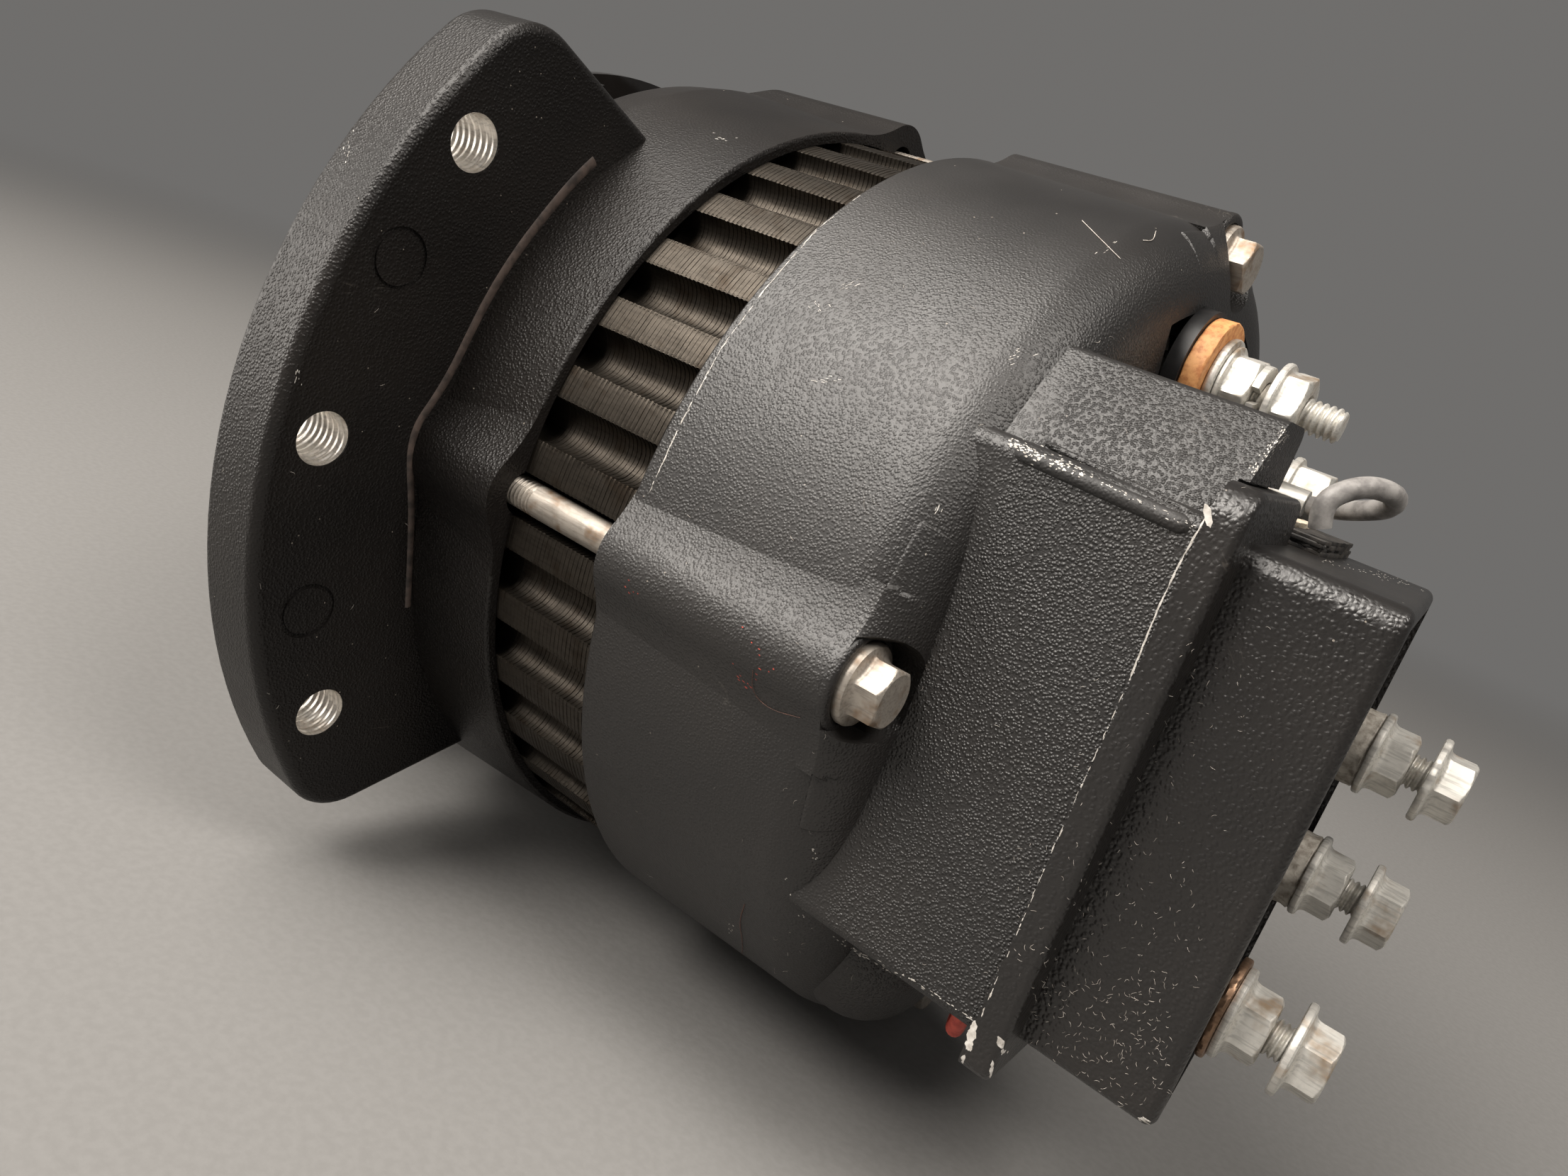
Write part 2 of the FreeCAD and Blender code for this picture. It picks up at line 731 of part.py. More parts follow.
def bearing_inner(x0, x1, bore):
    return ring(x0, x1, bore + bearing_race, bore)


def bearing_balls(x0, x1, outer, bore):
    low = bore + bearing_race
    high = outer - bearing_race
    radius = 0.5 * (high - low) - 2 * running_clearance
    balls = []
    for i in range(ball_count):
        y, z = polar(0.5 * (low + high), 360.0 * i / ball_count)
        balls.append(Part.makeSphere(radius, point(0.5 * (x0 + x1), y, z)))
    return Part.makeCompound(balls)


def bearing_retainer():
    x0 = drum_front_x + front_bearing_width
    plate = ring(x0, x0 + retainer_thickness, front_bearing_radius + bearing_boss_wall - 0.5,
                 front_bearing_radius - bearing_race + 0.5)
    holes = []
    for i in range(retainer_screw_count):
        y, z = retainer_screw_place(i)
        holes.append(cylinder(x0 - 1.0, x0 + retainer_thickness + 1.0, retainer_screw_diameter / 2 + 0.1, y, z))
    return cut_all(plate, holes)


def retainer_screws():
    screws = []
    x0 = drum_front_x + front_bearing_width + retainer_thickness
    for i in range(retainer_screw_count):
        y, z = retainer_screw_place(i)
        head = cylinder(x0, x0 + 2.4, retainer_screw_diameter * 0.85, y, z)
        shank = cylinder(drum_front_x + 2.0, x0 + 1.0, retainer_screw_diameter / 2, y, z)
        screws.append(fused([head, shank]))
    return Part.makeCompound(screws)


def rotor_shaft():
    front_shoulder = drum_front_x + front_bearing_width
    rear_seat = rear_face_x - rear_bearing_width
    shaft = turned([
        (shaft_thread_end, 0.0, 0.0),
        (shaft_thread_end, shaft_thread_radius - 1.0, 0.0),
        (shaft_thread_end + 1.0, shaft_thread_radius, 0.0),
        (pulley_front_x + 2.0, shaft_thread_radius, 0.0),
        (pulley_front_x + 2.0, shaft_radius, 0.0),
        (front_shoulder, shaft_radius, 0.0),
        (front_shoulder, shaft_core_radius, 0.0),
        (rear_seat, shaft_core_radius, 0.0),
        (rear_seat, shaft_rear_radius, 0.0),
        (shaft_rear_end, shaft_rear_radius, 0.0),
        (shaft_rear_end, 0.0, 0.0),
    ])
    return shaft.cut(key_solid(0.0))


def key_solid(extra):
    centre_x = 0.5 * (pulley_front_x + pulley_rear_x)
    disc = Part.makeCylinder(key_radius + extra, key_width + 2 * extra,
                             point(centre_x, -key_width / 2 - extra, shaft_radius), Y_AXIS)
    top = box(centre_x - 20, centre_x + 20, -10, 10, shaft_radius + 1.8 + extra, 40)
    return disc.cut(top)


def claw_finger(x_root, x_tip):
    """One tapering pole finger at angle 0, from its root disc to its tip."""
    outer = stator_bore_radius - rotor_air_gap

    def section(x, half_angle, thickness):
        inner = outer - thickness
        a = polar(outer, -half_angle)
        b = polar(outer, half_angle)
        c = polar(inner, half_angle)
        d = polar(inner, -half_angle)
        top = polar(outer, 0.0)
        low = polar(inner, 0.0)
        return Part.Wire([
            Part.Arc(point(x, *a), point(x, *top), point(x, *b)).toShape(),
            Part.LineSegment(point(x, *b), point(x, *c)).toShape(),
            Part.Arc(point(x, *c), point(x, *low), point(x, *d)).toShape(),
            Part.LineSegment(point(x, *d), point(x, *a)).toShape(),
        ])

    root = section(x_root, claw_root_half_angle, claw_finger_thickness_root)
    tip = section(x_tip, claw_tip_half_angle, claw_finger_thickness_tip)
    return Part.makeLoft([root, tip], True, True)


def claw_pole(front):
    """A claw pole: a disc on the shaft, half of the core, and six fingers over the coil."""
    side = -1.0 if front else 1.0
    outer_x = rotor_centre_x + side * rotor_length / 2
    inner_x = outer_x - side * claw_plate_thickness
    outer = stator_bore_radius - rotor_air_gap
    disc = cylinder(min(outer_x, inner_x), max(outer_x, inner_x), outer)
    core = cylinder(min(rotor_centre_x, inner_x), max(rotor_centre_x, inner_x), pole_core_radius)
    pieces = [core]
    notches = []
    phase = 0.0 if front else 180.0 / claw_count
    step = 360.0 / claw_count
    tip_x = rotor_centre_x - side * (rotor_length / 2 - 2.0)
    for i in range(claw_count):
        finger = claw_finger(inner_x, tip_x)
        finger.rotate(ORIGIN, X_AXIS, -(phase + step * i))
        pieces.append(finger)
        notches.append(sector_slot(min(outer_x, inner_x) - 1.0, max(outer_x, inner_x) + 1.0,
                                   pole_core_radius + 4.0, outer + 2.0, phase + step * (i + 0.5),
                                   step - 2.0 * claw_root_half_angle))
    pole = fused([cut_all(disc, notches)] + pieces)
    return pole.cut(cylinder(min(outer_x, rotor_centre_x) - 1.0, max(outer_x, rotor_centre_x) + 1.0,
                             shaft_core_radius))


def bobbin_and_coil():
    room = rotor_length / 2 - claw_plate_thickness
    x0 = rotor_centre_x - room + seat_clearance
    x1 = rotor_centre_x + room - seat_clearance
    inner = pole_core_radius + seat_clearance
    outer = stator_bore_radius - rotor_air_gap - claw_finger_thickness_root - 1.0
    bobbin = turned([(x0, inner, 0), (x1, inner, 0), (x1, outer, 0), (x1 - coil_wall, outer, 0),
                     (x1 - coil_wall, inner + coil_wall, 0), (x0 + coil_wall, inner + coil_wall, 0),
                     (x0 + coil_wall, outer, 0), (x0, outer, 0)])
    coil = ring(x0 + coil_wall, x1 - coil_wall, outer - 1.0, inner + coil_wall)
    return bobbin, coil


def slip_ring_places():
    first = pedestal_end_x - 3.5 - 2 * slip_ring_width - slip_ring_gap
    return [(first, first + slip_ring_width),
            (first + slip_ring_width + slip_ring_gap, first + 2 * slip_ring_width + slip_ring_gap)]


def slip_rings():
    return Part.makeCompound([ring(a, b, slip_ring_radius, ring_sleeve_radius) for a, b in slip_ring_places()])


def slip_ring_sleeve():
    last = slip_ring_places()[1][1]
    return ring(ring_sleeve_start, last + 1.0, ring_sleeve_radius, shaft_rear_radius)


def fan():
    plate = ring(fan_plate_x - fan_plate_thickness, fan_plate_x, fan_radius, shaft_radius)
    shape = [plate]
    for i in range(fan_blade_count):
        blade = box(fan_plate_x - 0.5, fan_blade_x, -fan_radius - 2.0, -fan_blade_inner,
                    -fan_blade_thickness / 2, fan_blade_thickness / 2)
        blade.rotate(point(0, -0.5 * (fan_radius + fan_blade_inner), 0), X_AXIS, 28.0)
        blade = blade.common(cylinder(fan_plate_x - 2.0, fan_blade_x + 1.0, fan_radius))
        blade.rotate(ORIGIN, X_AXIS, -360.0 * i / fan_blade_count - (7.0 if i % 3 == 1 else 0.0))
        shape.append(blade)
    hub = ring(fan_plate_x, fan_plate_x + 2.5, 18.0, shaft_radius)
    return fused(shape + [hub])


def fan_spacer():
    return ring(fan_plate_x + 2.5, drum_front_x, 12.0, shaft_radius)


def pulley():
    half_top = pulley_groove_width / 2
    half_low = half_top - pulley_groove_depth * math.tan(math.radians(pulley_groove_angle / 2))
    centre = 0.5 * (pulley_front_x + pulley_rear_x)
    low = pulley_radius - pulley_groove_depth
    wheel = turned([
        (pulley_rear_x, shaft_radius, 0.0),
        (pulley_rear_x, pulley_radius, 1.2),
        (centre + half_top, pulley_radius, 0.8),
        (centre + half_low, low, 0.8),
        (centre - half_low, low, 0.8),
        (centre - half_top, pulley_radius, 0.8),
        (pulley_front_x, pulley_radius, 1.2),
        (pulley_front_x, pulley_radius - 5.0, 0.5),
        (pulley_front_x + 4.0, pulley_radius - 7.0, 0.5),
        (pulley_front_x + 4.0, pulley_hub_radius, 0.5),
        (pulley_front_x, pulley_hub_radius - 1.0, 0.5),
        (pulley_front_x, shaft_radius, 0.0),
    ])
    return wheel.cut(key_solid(0.0))


def shaft_washer():
    return ring(shaft_washer_x, pulley_front_x, shaft_washer_radius, shaft_thread_radius)


def shaft_nut():
    nut = hexagon(shaft_nut_x, shaft_washer_x, shaft_nut_flats, 0.0, 0.0)
    bevel = Part.makeCone(shaft_nut_flats / 2 - 0.4, shaft_nut_flats / 2 + shaft_nut_height,
                          shaft_nut_height + 0.4, point(shaft_nut_x, 0, 0), X_AXIS)
    return nut.common(bevel).cut(cylinder(shaft_nut_x - 1.0, shaft_washer_x + 1.0, shaft_thread_radius))


def brush_box(centre_x, y0, y1, extra=0.0):
    half_w = brush_width / 2 + extra
    half_h = brush_height / 2 + extra
    return box(centre_x - half_w, centre_x + half_w, y0, y1, -half_h, half_h)


def brush_centres():
    return [0.5 * (a + b) for a, b in slip_ring_places()]


def brush_end_y():
    return -slip_ring_radius - brush_clearance


def brush_holder():
    xs = brush_centres()
    near = brush_end_y() - 2.0
    far = near - holder_length_y
    block = box(xs[0] - brush_width / 2 - holder_wall, xs[1] + brush_width / 2 + holder_wall,
                far, near, -brush_height / 2 - holder_wall, brush_height / 2 + holder_wall)
    foot = box(xs[0] - brush_width / 2 - holder_wall, xs[1] + brush_width / 2 + holder_wall,
               far, far + 4.0, -brush_height / 2 - holder_wall - 7.0, brush_height / 2 + holder_wall + 7.0)
    holder = fused([block, foot])
    return cut_all(holder, [brush_box(x, far + holder_wall, near + 1.0, brush_clearance) for x in xs])


def brush(index):
    end = brush_end_y()
    centre = brush_centres()[index]
    stick = brush_box(centre, end - brush_length, end)
    hollow = cylinder(centre - brush_width, centre + brush_width, slip_ring_radius + brush_clearance)
    longer = fused([stick, brush_box(centre, end, end + 2.0)])
    return longer.cut(hollow)


def brush_spring(index):
    """A brush spring, drawn as the sleeve that its turns fill."""
    start = brush_end_y() - brush_length
    stop = brush_end_y() - 2.0 - holder_length_y + holder_wall
    x = brush_centres()[index]
    sleeve = Part.makeCylinder(spring_radius, start - stop, point(x, stop, 0), Y_AXIS)
    return sleeve.cut(Part.makeCylinder(spring_radius - spring_wire, start - stop, point(x, stop, 0), Y_AXIS))


def case_prism(x0, x1, inset, scale=1.0):
    """The regulator case's outline along the axis, inset all round, with its corner radii scaled."""
    near, far = case_side_y + inset, case_far_y - inset
    low, high = case_bottom + inset, case_top - inset
    small = case_low_corner_radius * scale
    large = case_corner_radius * scale
    return prism([(near, low, small), (far, low, small), (far, high, large), (near, high, large)], x0, x1)


def end_cut():
    """What the sloping rear end of the case takes away: nothing near the side, most at the far side."""
    reach = case_far_y - case_side_y
    far_x = case_end_x - case_end_taper
    corners = [point(case_end_x, case_side_y, 0), point(far_x, case_far_y, 0),
               point(far_x - case_end_taper, case_far_y + reach, 0), point(case_end_x + 20, case_far_y + reach, 0),
               point(case_end_x + 20, case_side_y - 10, 0),
               point(case_end_x + 10 * case_end_taper / reach, case_side_y - 10, 0)]
    wire = Part.makePolygon(corners + [corners[0]])
    wedge = Part.Face(wire).extrude(point(0, 0, 120))
    wedge.translate(point(0, 0, -60))
    return wedge


def regulator_case():
    ear_y = lip_side_y + ear_width
    far_y = pedestal_far_y + 1.0
    plate = prism([
        (lip_side_y, -lip_half_height, lip_low_corner_radius),
        (ear_y, -lip_half_height, 1.5),
        (ear_y + ear_slope, case_bottom, 1.0),
        (far_y, case_bottom, 3.0),
        (far_y, case_top, 3.0),
        (ear_y + ear_slope, case_top, 1.0),
        (ear_y, lip_half_height, 1.5),
        (lip_side_y, lip_half_height, lip_corner_radius),
    ], pedestal_end_x, lip_rear_x)
    lip = fused([plate, cylinder(pedestal_end_x, lip_rear_x, lip_lobe_radius)])

    def is_lip_rim(edge):
        return edge.BoundBox.XMin > lip_rear_x - 0.01

    lip = lip.makeFillet(lip_edge_radius, edges_where(lip, is_lip_rim))
    body = case_prism(lip_rear_x - 0.5, case_end_x + 1.0, 0.0).cut(end_cut())

    def is_end_rim(edge):
        return edge.BoundBox.XMin > case_end_x - case_end_taper - 0.1

    body = body.makeFillet(case_edge_radius, edges_where(body, is_end_rim))
    whole = fused([lip, body])
    tools = [case_prism(potting_x - potting_depth, case_end_x + 1.0, case_wall, 0.5)]
    for side in (-1.0, 1.0):
        tools.append(cylinder(pedestal_end_x - 1.0, lip_rear_x + 1.0, regulator_screw_diameter / 2 + 0.2,
                              regulator_screw_y, side * regulator_screw_z))
    return cut_all(whole, tools)


def regulator_potting():
    fill = case_prism(potting_x - potting_depth, potting_x, case_wall, 0.5)
    bottom = potting_x - potting_depth
    tools = [cylinder(bottom - 1.0, potting_x + 1.0, stud_diameter / 2, y, z) for y, z in stud_places]
    return cut_all(fill, tools)


def regulator_screws():
    screws = []
    for side in (-1.0, 1.0):
        z = side * regulator_screw_z
        head = cylinder(lip_rear_x, lip_rear_x + 2.6, regulator_screw_diameter * 0.9, regulator_screw_y, z)
        shank = cylinder(pedestal_end_x - 8.0, lip_rear_x + 1.0, regulator_screw_diameter / 2, regulator_screw_y, z)
        screws.append(fused([head, shank]))
    return Part.makeCompound(screws)


def stud_base(index):
    """Where the first nut of a regulator stud stands."""
    if index < 2:
        return potting_x + tall_spacer_height
    return potting_x + low_boss_height + thin_washer_thickness


def regulator_studs():
    studs = []
    for i, (y, z) in enumerate(stud_places):
        end = stud_base(i) + 2 * small_nut_height + stud_thread_gap - 0.8
        studs.append(cylinder(potting_x - potting_depth, end, stud_diameter / 2, y, z))
    return Part.makeCompound(studs)


def regulator_spacers():
    spacers = []
    for i in (0, 1):
        y, z = stud_places[i]
        spacers.append(ring(potting_x, stud_base(i), tall_spacer_diameter / 2, stud_diameter / 2, y, z))
    y, z = stud_places[2]
    spacers.append(ring(potting_x, potting_x + low_boss_height, low_boss_diameter / 2, stud_diameter / 2, y, z))
    return Part.makeCompound(spacers)


def copper_washer():
    y, z = stud_places[2]
    x0 = potting_x + low_boss_height
    return ring(x0, x0 + thin_washer_thickness, thin_washer_diameter / 2, stud_diameter / 2 + 0.2, y, z)


def regulator_nuts(outer):
    nuts = []
    turns = ((17.0, 2.0), (14.0, 17.0), (20.0, 26.0))
    for i, (y, z) in enumerate(stud_places):
        x0 = stud_base(i) + (small_nut_height + stud_thread_gap if outer else 0.0)
        nuts.append(flange_nut(x0, y, z, hex_across_flats, small_nut_flange, small_nut_height,
                               stud_diameter, turns[i][1 if outer else 0]))
    return Part.makeCompound(nuts)


def output_stack():
    """Each piece on the output stud, from the rear wall outwards."""
    y, z = output_y, output_z
    r = output_stud_diameter / 2
    x = rear_face_x
    pieces = {}
    pieces["output_collar"] = ring(x, x + output_collar_height, output_collar_diameter / 2, r, y, z)
    x += output_collar_height
    pieces["output_fibre_washer"] = ring(x, x + fibre_washer_thickness, fibre_washer_diameter / 2, r, y, z)
    x += fibre_washer_thickness
    pieces["output_washer"] = ring(x, x + zinc_washer_thickness, zinc_washer_diameter / 2, r, y, z)
    x += zinc_washer_thickness
    pieces["output_inner_nut"] = flange_nut(x, y, z, big_nut_flats, big_nut_flange, big_nut_height, 2 * r, 8.0)
    x += big_nut_height
    pieces["output_lock_washer"] = ring(x, x + lock_washer_thickness, lock_washer_diameter / 2, r, y, z)
    x += lock_washer_thickness + terminal_thread_gap
    pieces["output_outer_nut"] = flange_nut(x, y, z, big_nut_flats, big_nut_flange, big_nut_height, 2 * r, 13.0)
    pieces["output_stud"] = cylinder(rear_face_x - rear_wall - sink_clearance - sink_thickness - 1.5,
                                     rear_rim_x + output_stud_end, r, y, z)
    return pieces


def field_stack():
    """Each piece on the field terminal, from the rear wall outwards."""
    y, z = field_y, field_z
    r = output_stud_diameter / 2
    x = rear_face_x
    pieces = {}
    pieces["field_insulator"] = ring(x, x + field_insulator_height, field_insulator_diameter / 2, r, y, z)
    x += field_insulator_height
    eye = ring(x, x + lug_thickness, lug_radius, r, y, z)
    barrel_y = y - lug_reach
    tail = box(x, x + lug_thickness, barrel_y, y - lug_radius + 1.0, z - lug_radius / 2, z + lug_radius / 2)
    barrel = cylinder(x, x + lug_barrel_length, lug_barrel_radius, barrel_y, z)
    pieces["field_lug"] = fused([eye, tail, barrel])
    x += lug_thickness
    pieces["field_nut"] = flange_nut(x, y, z, big_nut_flats, big_nut_flange, field_nut_height, 2 * r, 3.0)
    pieces["field_stud"] = cylinder(rear_face_x - rear_wall - 2.5, rear_rim_x + field_stud_end, r, y, z)
    return pieces


def pads():
    """The rubber seal on the case's top, and the strip of cork bonded to it."""
    x0 = pedestal_end_x + pad_start
    rubber = box(x0, x0 + pad_length, pad_near_y, pad_far_y, case_top, case_top + pad_rubber_height)
    z0 = case_top + pad_rubber_height
    cork = box(x0, x0 + pad_length, pad_near_y, pad_far_y, z0, z0 + pad_cork_height)
    return rubber, cork


def heat_sinks():
    rear = rear_face_x - rear_wall - sink_clearance
    outer_plate = ring(rear - sink_thickness, rear, sink_outer, sink_inner).common(
        sector_slot(rear - sink_thickness - 1.0, rear + 1.0, sink_inner - 5.0, sink_outer + 5.0,
                    sink_middle_angle, sink_span_angle))
    lower = rear - sink_thickness - sink_gap
    inner_plate = ring(lower - sink_thickness, lower, sink_outer, sink_inner).common(
        sector_slot(lower - sink_thickness - 1.0, lower + 1.0, sink_inner - 5.0, sink_outer + 5.0,
                    sink_middle_angle, sink_span_angle))
    hole = cylinder(rear - 30.0, rear + 1.0, output_stud_diameter / 2, output_y, output_z)
    return outer_plate.cut(hole), inner_plate.cut(
        cylinder(rear - 30.0, rear + 1.0, output_stud_diameter / 2 + 2.0, output_y, output_z))


def diodes():
    """Button diodes pressed between the two plates."""
    rear = rear_face_x - rear_wall - sink_clearance - sink_thickness
    buttons = []
    for angle in (40.0, 60.0, 95.0, 112.0):
        y, z = polar(0.5 * (sink_inner + sink_outer), angle)
        buttons.append(cylinder(rear - diode_height, rear, diode_radius, y, z))
    return Part.makeCompound(buttons)


def routed_tube(route, diameter):
    """A tube along straight runs joined by tangent arcs, each as large as its two runs allow."""
    points = [point(*p) for p in route]
    edges = []
    radii = []
    here = points[0]
    for i in range(1, len(points) - 1):
        back = points[i - 1] - points[i]
        ahead = points[i + 1] - points[i]
        shorter = min(back.Length, ahead.Length)
        back.normalize()
        ahead.normalize()
        half = 0.5 * back.getAngle(ahead)
        reach = 0.45 * shorter
        radius = reach * math.tan(half)
        radii.append(round(radius, 1))
        start = points[i] + back * reach
        stop = points[i] + ahead * reach
        inward = back + ahead
        inward.normalize()
        middle = points[i] + inward * (radius / math.sin(half) - radius)
        edges.append(Part.LineSegment(here, start).toShape())
        edges.append(Part.Arc(start, middle, stop).toShape())
        here = stop
    edges.append(Part.LineSegment(here, points[-1]).toShape())
    path = Part.Wire(edges)
    direction = points[1] - points[0]
    circle = Part.Wire(Part.Circle(points[0], direction, diameter / 2).toShape())
    tube = path.makePipeShell([circle], True, False)
    expected = math.pi * diameter ** 2 / 4 * path.Length
    print("bend radii", radii, "length", round(path.Length, 1), "volume ratio", round(tube.Volume / expected, 4))
    return tube


def field_lead_route():
    return [(110.0, -28.0, 34.8), (109.2, -28.4, 36.9), (109.8, -28.0, 39.2), (112.6, -25.8, 41.6),
            (115.8, -21.6, 41.7), (115.2, -17.5, 39.8), (111.2, -13.4, 38.0), (107.4, -8.6, 36.9),
            (104.6, -7.5, 36.3)]


def red_lead_route():
    return [(81.5, -8.0, -45.5), (91.5, -8.0, -45.5), (95.0, -19.0, -46.8), (95.2, -33.0, -46.6),
            (98.8, -44.6, -44.4), (98.8, -44.6, -33.0)]


def build_parts():
    parts = {
        "drive_end_housing": drive_end_housing(),
        "rear_housing": rear_housing(),
        "stator_core": stator_core(),
        "stator_winding": stator_winding(),
        "through_bolts": through_bolts(),
    }
    front0 = drum_front_x
    front1 = drum_front_x + front_bearing_width
    rear0 = rear_face_x - rear_bearing_width
    rear1 = rear_face_x
    parts["front_bearing_outer_race"] = bearing_outer(front0, front1, front_bearing_radius)
    parts["front_bearing_inner_race"] = bearing_inner(front0, front1, shaft_radius)
    parts["front_bearing_balls"] = bearing_balls(front0, front1, front_bearing_radius, shaft_radius)
    parts["rear_bearing_outer_race"] = bearing_outer(rear0, rear1, rear_bearing_radius)
    parts["rear_bearing_inner_race"] = bearing_inner(rear0, rear1, shaft_rear_radius)
    parts["rear_bearing_balls"] = bearing_balls(rear0, rear1, rear_bearing_radius, shaft_rear_radius)
    parts["bearing_retainer"] = bearing_retainer()
    parts["retainer_screws"] = retainer_screws()
    parts["rotor_shaft"] = rotor_shaft()
    parts["front_claw_pole"] = claw_pole(True)
    parts["rear_claw_pole"] = claw_pole(False)
    parts["field_bobbin"], parts["field_coil"] = bobbin_and_coil()
    parts["slip_rings"] = slip_rings()
    parts["slip_ring_sleeve"] = slip_ring_sleeve()
    parts["fan"] = fan()
    parts["fan_spacer"] = fan_spacer()
    parts["pulley"] = pulley()
    parts["shaft_key"] = key_solid(0.0)
    parts["shaft_washer"] = shaft_washer()
    parts["shaft_nut"] = shaft_nut()
    parts["brush_holder"] = brush_holder()
    parts["brush_inner"] = brush(0)
    parts["brush_outer"] = brush(1)
    parts["brush_spring_inner"] = brush_spring(0)
    parts["brush_spring_outer"] = brush_spring(1)
    parts["regulator_case"] = regulator_case()
    parts["regulator_potting"] = regulator_potting()
    parts["regulator_screws"] = regulator_screws()
    parts["regulator_studs"] = regulator_studs()
    parts["regulator_spacers"] = regulator_spacers()
    parts["regulator_copper_washer"] = copper_washer()
    parts["regulator_inner_nuts"] = regulator_nuts(False)
    parts["regulator_outer_nuts"] = regulator_nuts(True)
    parts.update(output_stack())
    parts.update(field_stack())
    parts["regulator_rubber_pad"], parts["regulator_cork_pad"] = pads()
    parts["positive_heat_sink"], parts["negative_heat_sink"] = heat_sinks()
    parts["rectifier_diodes"] = diodes()
    parts["field_lead"] = routed_tube(field_lead_route(), lead_diameter)
    parts["red_lead"] = routed_tube(red_lead_route(), red_lead_diameter)
    return parts


def main():
    os.makedirs("parts", exist_ok=True)
    for name, shape in build_parts().items():
        shape.exportStep("parts/" + name + ".step")
        print(name, "solids", len(shape.Solids), "valid", shape.isValid(), "volume", round(shape.Volume, 1))


main()
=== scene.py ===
# %% [markdown]
# # An alternator with a side mounting flange
# The real thing is a cast aluminium machine, coated black, with a laminated steel stator between its
# two housings and a potted regulator bolted to its rear pedestal. The solids come from the CAD frame
# and stay where they are. This script dresses them: it gives every solid a finish, and builds the
# fine forms that a solid model leaves out, such as threads, sheet edges, nuts with worn plating,
# torn rubber and lint.

import math
import random

import bmesh
import bpy
from mathutils import Matrix, Vector
from mathutils.bvhtree import BVHTree


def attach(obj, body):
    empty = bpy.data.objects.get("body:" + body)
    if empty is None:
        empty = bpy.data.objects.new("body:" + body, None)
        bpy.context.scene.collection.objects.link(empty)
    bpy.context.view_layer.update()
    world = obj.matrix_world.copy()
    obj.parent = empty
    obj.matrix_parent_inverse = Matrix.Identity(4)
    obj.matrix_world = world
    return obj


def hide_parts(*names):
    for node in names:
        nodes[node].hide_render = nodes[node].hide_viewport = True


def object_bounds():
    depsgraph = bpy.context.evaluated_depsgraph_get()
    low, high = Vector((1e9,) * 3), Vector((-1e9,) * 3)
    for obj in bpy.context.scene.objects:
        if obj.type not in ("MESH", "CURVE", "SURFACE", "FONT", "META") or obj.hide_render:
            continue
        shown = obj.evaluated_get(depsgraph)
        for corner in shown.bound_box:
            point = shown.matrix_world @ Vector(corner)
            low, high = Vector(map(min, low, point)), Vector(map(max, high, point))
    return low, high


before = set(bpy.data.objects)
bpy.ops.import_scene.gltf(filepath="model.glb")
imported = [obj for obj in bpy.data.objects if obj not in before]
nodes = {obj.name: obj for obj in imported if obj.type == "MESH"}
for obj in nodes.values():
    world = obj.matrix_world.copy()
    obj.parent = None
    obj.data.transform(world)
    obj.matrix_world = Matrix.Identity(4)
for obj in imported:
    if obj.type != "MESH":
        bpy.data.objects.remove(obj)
CAD_BOX = [list(corner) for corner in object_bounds()]
print("CAD box", [[round(1000 * value, 1) for value in corner] for corner in CAD_BOX])

# %% [markdown]
# ## The camera
# A camera can be placed by eye, but here its place and turn were worked out from points of the
# photograph whose places on the solids are known. It needs a place, three directions and a lens.
# The picture is tilted against the rotor axis, so the camera's up direction leans.

# %% Camera
CAMERA_PLACE = Vector((0.13296, -0.18649, 0.04086))
CAMERA_RIGHT = Vector((0.76893, 0.54364, 0.33647))
CAMERA_UP = Vector((-0.41386, 0.02211, 0.91007))
CAMERA_BACK = Vector((0.48731, -0.83903, 0.24199))
SENSOR_WIDTH_MM = 36.0
LENS_MM = 26.965


def turned_matrix(place, right, up, back):
    """A matrix whose columns are the three directions and the place."""
    matrix = Matrix((right, up, back)).transposed().to_4x4()
    matrix.translation = place
    return matrix


camera_data = bpy.data.cameras.new("camera")
camera_data.sensor_fit = "HORIZONTAL"
camera_data.sensor_width = SENSOR_WIDTH_MM
camera_data.lens = LENS_MM
camera_data.clip_start = 0.005
camera = bpy.data.objects.new("camera", camera_data)
camera.matrix_world = turned_matrix(CAMERA_PLACE, CAMERA_RIGHT, CAMERA_UP, CAMERA_BACK)
bpy.context.scene.collection.objects.link(camera)
bpy.context.scene.camera = camera
print("lens", LENS_MM, "mm on a sensor", SENSOR_WIDTH_MM, "mm wide")

# %% [markdown]
# ## A small language for node graphs
# Materials made in code get long if every node and link is typed out. One class with a few methods
# keeps each effect readable: a method adds a node, fills its sockets with numbers or with links, and
# hands back the socket that the next method needs.


